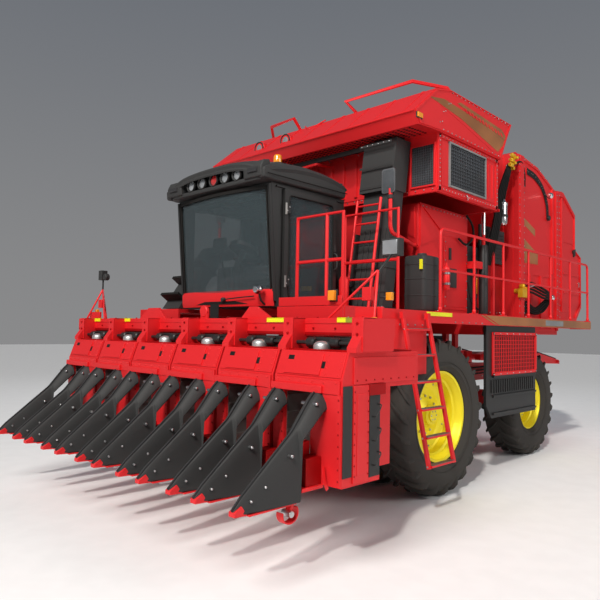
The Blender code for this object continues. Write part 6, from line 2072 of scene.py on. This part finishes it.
# ---- Stage --------------------------------------------------------------------------------------
class PICKER_OT_stage(bpy.types.Operator):
    """Pale floor, soft studio light, world and camera"""
    bl_idname = "picker.stage"
    bl_label = "Stage"

    def execute(self, context):
        scene = context.scene
        floor_mesh = bpy.data.meshes.new("floor")
        steps = 49
        run = np.linspace(-1, 1, steps)
        x, y = np.meshgrid(run * 60, run * 60)
        grid = np.stack((x, y, np.zeros_like(x)), -1)
        points, faces = skin(grid)
        floor_mesh.from_pydata(points.tolist(), [], [face[::-1] for face in faces])
        floor = bpy.data.objects.new("floor", floor_mesh)
        scene.collection.objects.link(floor)
        floor_mesh.materials.append(finish("studio_floor", (0.86, 0.86, 0.86), 0.75, dust=0.0, grain=30,
                                           bump=0.02, tone=0.01))
        if floor_mesh.polygons[0].normal.z < 0:
            floor_mesh.flip_normals()
        world = bpy.data.worlds.new("studio")
        world.use_nodes = True
        tree = world.node_tree
        back = tree.nodes["Background"]
        up = tree.nodes.new("ShaderNodeSeparateXYZ")
        wire(tree, tree.nodes.new("ShaderNodeTexCoord").outputs["Generated"], up.inputs[0])
        shade = blend_colour(tree, ramp(tree, up.outputs[2], -0.1, 0.8), (0.95, 0.95, 0.96, 1),
                             (0.42, 0.48, 0.58, 1))
        wire(tree, shade, back.inputs["Color"])
        back.inputs["Strength"].default_value = 0.27
        scene.world = world
        scene.view_settings.view_transform = "Standard"
        self.lights(scene)
        self.camera(scene)
        return {"FINISHED"}

    def lights(self, scene):
        """Three round area lamps, each turned to face its target, and a sun."""
        for name, place, target, size, power, colour in (
                ("key", (3.5, -11.0, 9.5), (0, -1, 2.2), 5.0, 1000, (1.0, 0.97, 0.93)),
                ("side", (11.0, 1.0, 7.0), (0, 0, 2.0), 6.0, 420, (1.0, 0.98, 0.95)),
                ("back", (-9.0, 8.0, 9.0), (0, 0, 2.5), 6.0, 380, (0.92, 0.95, 1.0))):
            data = bpy.data.lights.new(name, "AREA")
            data.shape = "DISK"
            data.size = size
            data.energy = power
            data.color = colour
            made = bpy.data.objects.new(name, data)
            made.location = place
            aim = np.array(target, float) - np.array(place, float)
            made.rotation_euler = (math.acos(-unit(aim)[2]), 0, math.atan2(aim[1], aim[0]) - math.pi / 2)
            scene.collection.objects.link(made)
        sun = bpy.data.lights.new("sun", "SUN")
        sun.energy = 1.75
        sun.angle = math.radians(3)
        sun.color = (1.0, 0.96, 0.9)
        made = bpy.data.objects.new("sun", sun)
        made.rotation_euler = (math.radians(48), math.radians(6), math.radians(18))
        scene.collection.objects.link(made)

    def camera(self, scene):
        """The camera: look = (-sin yaw cos pitch, cos yaw cos pitch, sin pitch), then rolled about it."""
        data = bpy.data.cameras.new("front_left")
        data.lens = 36.04
        data.sensor_width = 36
        data.clip_end = 200
        made = bpy.data.objects.new("front_left", data)
        yaw, pitch, roll = (math.radians(angle) for angle in (44.153, 2.93, 1.029))
        look = np.array((-math.sin(yaw) * math.cos(pitch), math.cos(yaw) * math.cos(pitch),
                         math.sin(pitch)))
        right = np.array((math.cos(yaw), math.sin(yaw), 0.0))
        up = np.cross(right, look)
        right, up = right * math.cos(roll) + up * math.sin(roll), up * math.cos(roll) - right * math.sin(roll)
        turn = Matrix(np.column_stack((right, up, -look)).tolist()).to_4x4()
        turn.translation = (5.714, -6.54 + AXLE_Y, 1.971)
        made.matrix_world = turn
        scene.collection.objects.link(made)
        scene.camera = made


# ---- Panel and registration ---------------------------------------------------------------------
OPERATORS = (
    PICKER_OT_wheels, PICKER_OT_dividers, PICKER_OT_units, PICKER_OT_beam, PICKER_OT_cab_roof,
    PICKER_OT_cab_body, PICKER_OT_seat, PICKER_OT_hopper, PICKER_OT_housing, PICKER_OT_chamber,
    PICKER_OT_decks, PICKER_OT_underbody, PICKER_OT_stage,
)


class PICKER_PT_panel(bpy.types.Panel):
    """Settings and operators of the cotton picker"""
    bl_label = "Cotton picker"
    bl_idname = "PICKER_PT_panel"
    bl_space_type = "VIEW_3D"
    bl_region_type = "UI"
    bl_category = "Picker"

    def draw(self, context):
        """Every setting, then a button for each operator."""
        layout = self.layout
        for group in (context.scene.picker_colours, context.scene.picker_sizes):
            box = layout.box()
            for name in group.__annotations__:
                box.prop(group, name)
        for operator in OPERATORS:
            layout.operator(operator.bl_idname)


CLASSES = (PickerColours, PickerSizes, *OPERATORS, PICKER_PT_panel)


def register():
    """Register the classes, then the settings on the scene."""
    for kind in CLASSES:
        bpy.utils.register_class(kind)
    bpy.types.Scene.picker_colours = PointerProperty(type=PickerColours)
    bpy.types.Scene.picker_sizes = PointerProperty(type=PickerSizes)


def unregister():
    """Undo register in the opposite order."""
    del bpy.types.Scene.picker_sizes
    del bpy.types.Scene.picker_colours
    for kind in reversed(CLASSES):
        bpy.utils.unregister_class(kind)


def corners(bounds):
    """A box as plain lists of numbers."""
    return [list(map(float, corner)) for corner in bounds]


def main():
    register()
    sheet_metal_finish()
    bpy.ops.picker.wheels()
    bpy.ops.picker.dividers()
    bpy.ops.picker.units()
    bpy.ops.picker.beam()
    bpy.ops.picker.cab_roof()
    bpy.ops.picker.cab_body()
    bpy.ops.picker.seat()
    bpy.ops.picker.hopper()
    bpy.ops.picker.housing()
    bpy.ops.picker.chamber()
    bpy.ops.picker.decks()
    bpy.ops.picker.underbody()
    bpy.ops.picker.stage()
    bpy.context.view_layer.update()


if __name__ == "__main__":
    main()
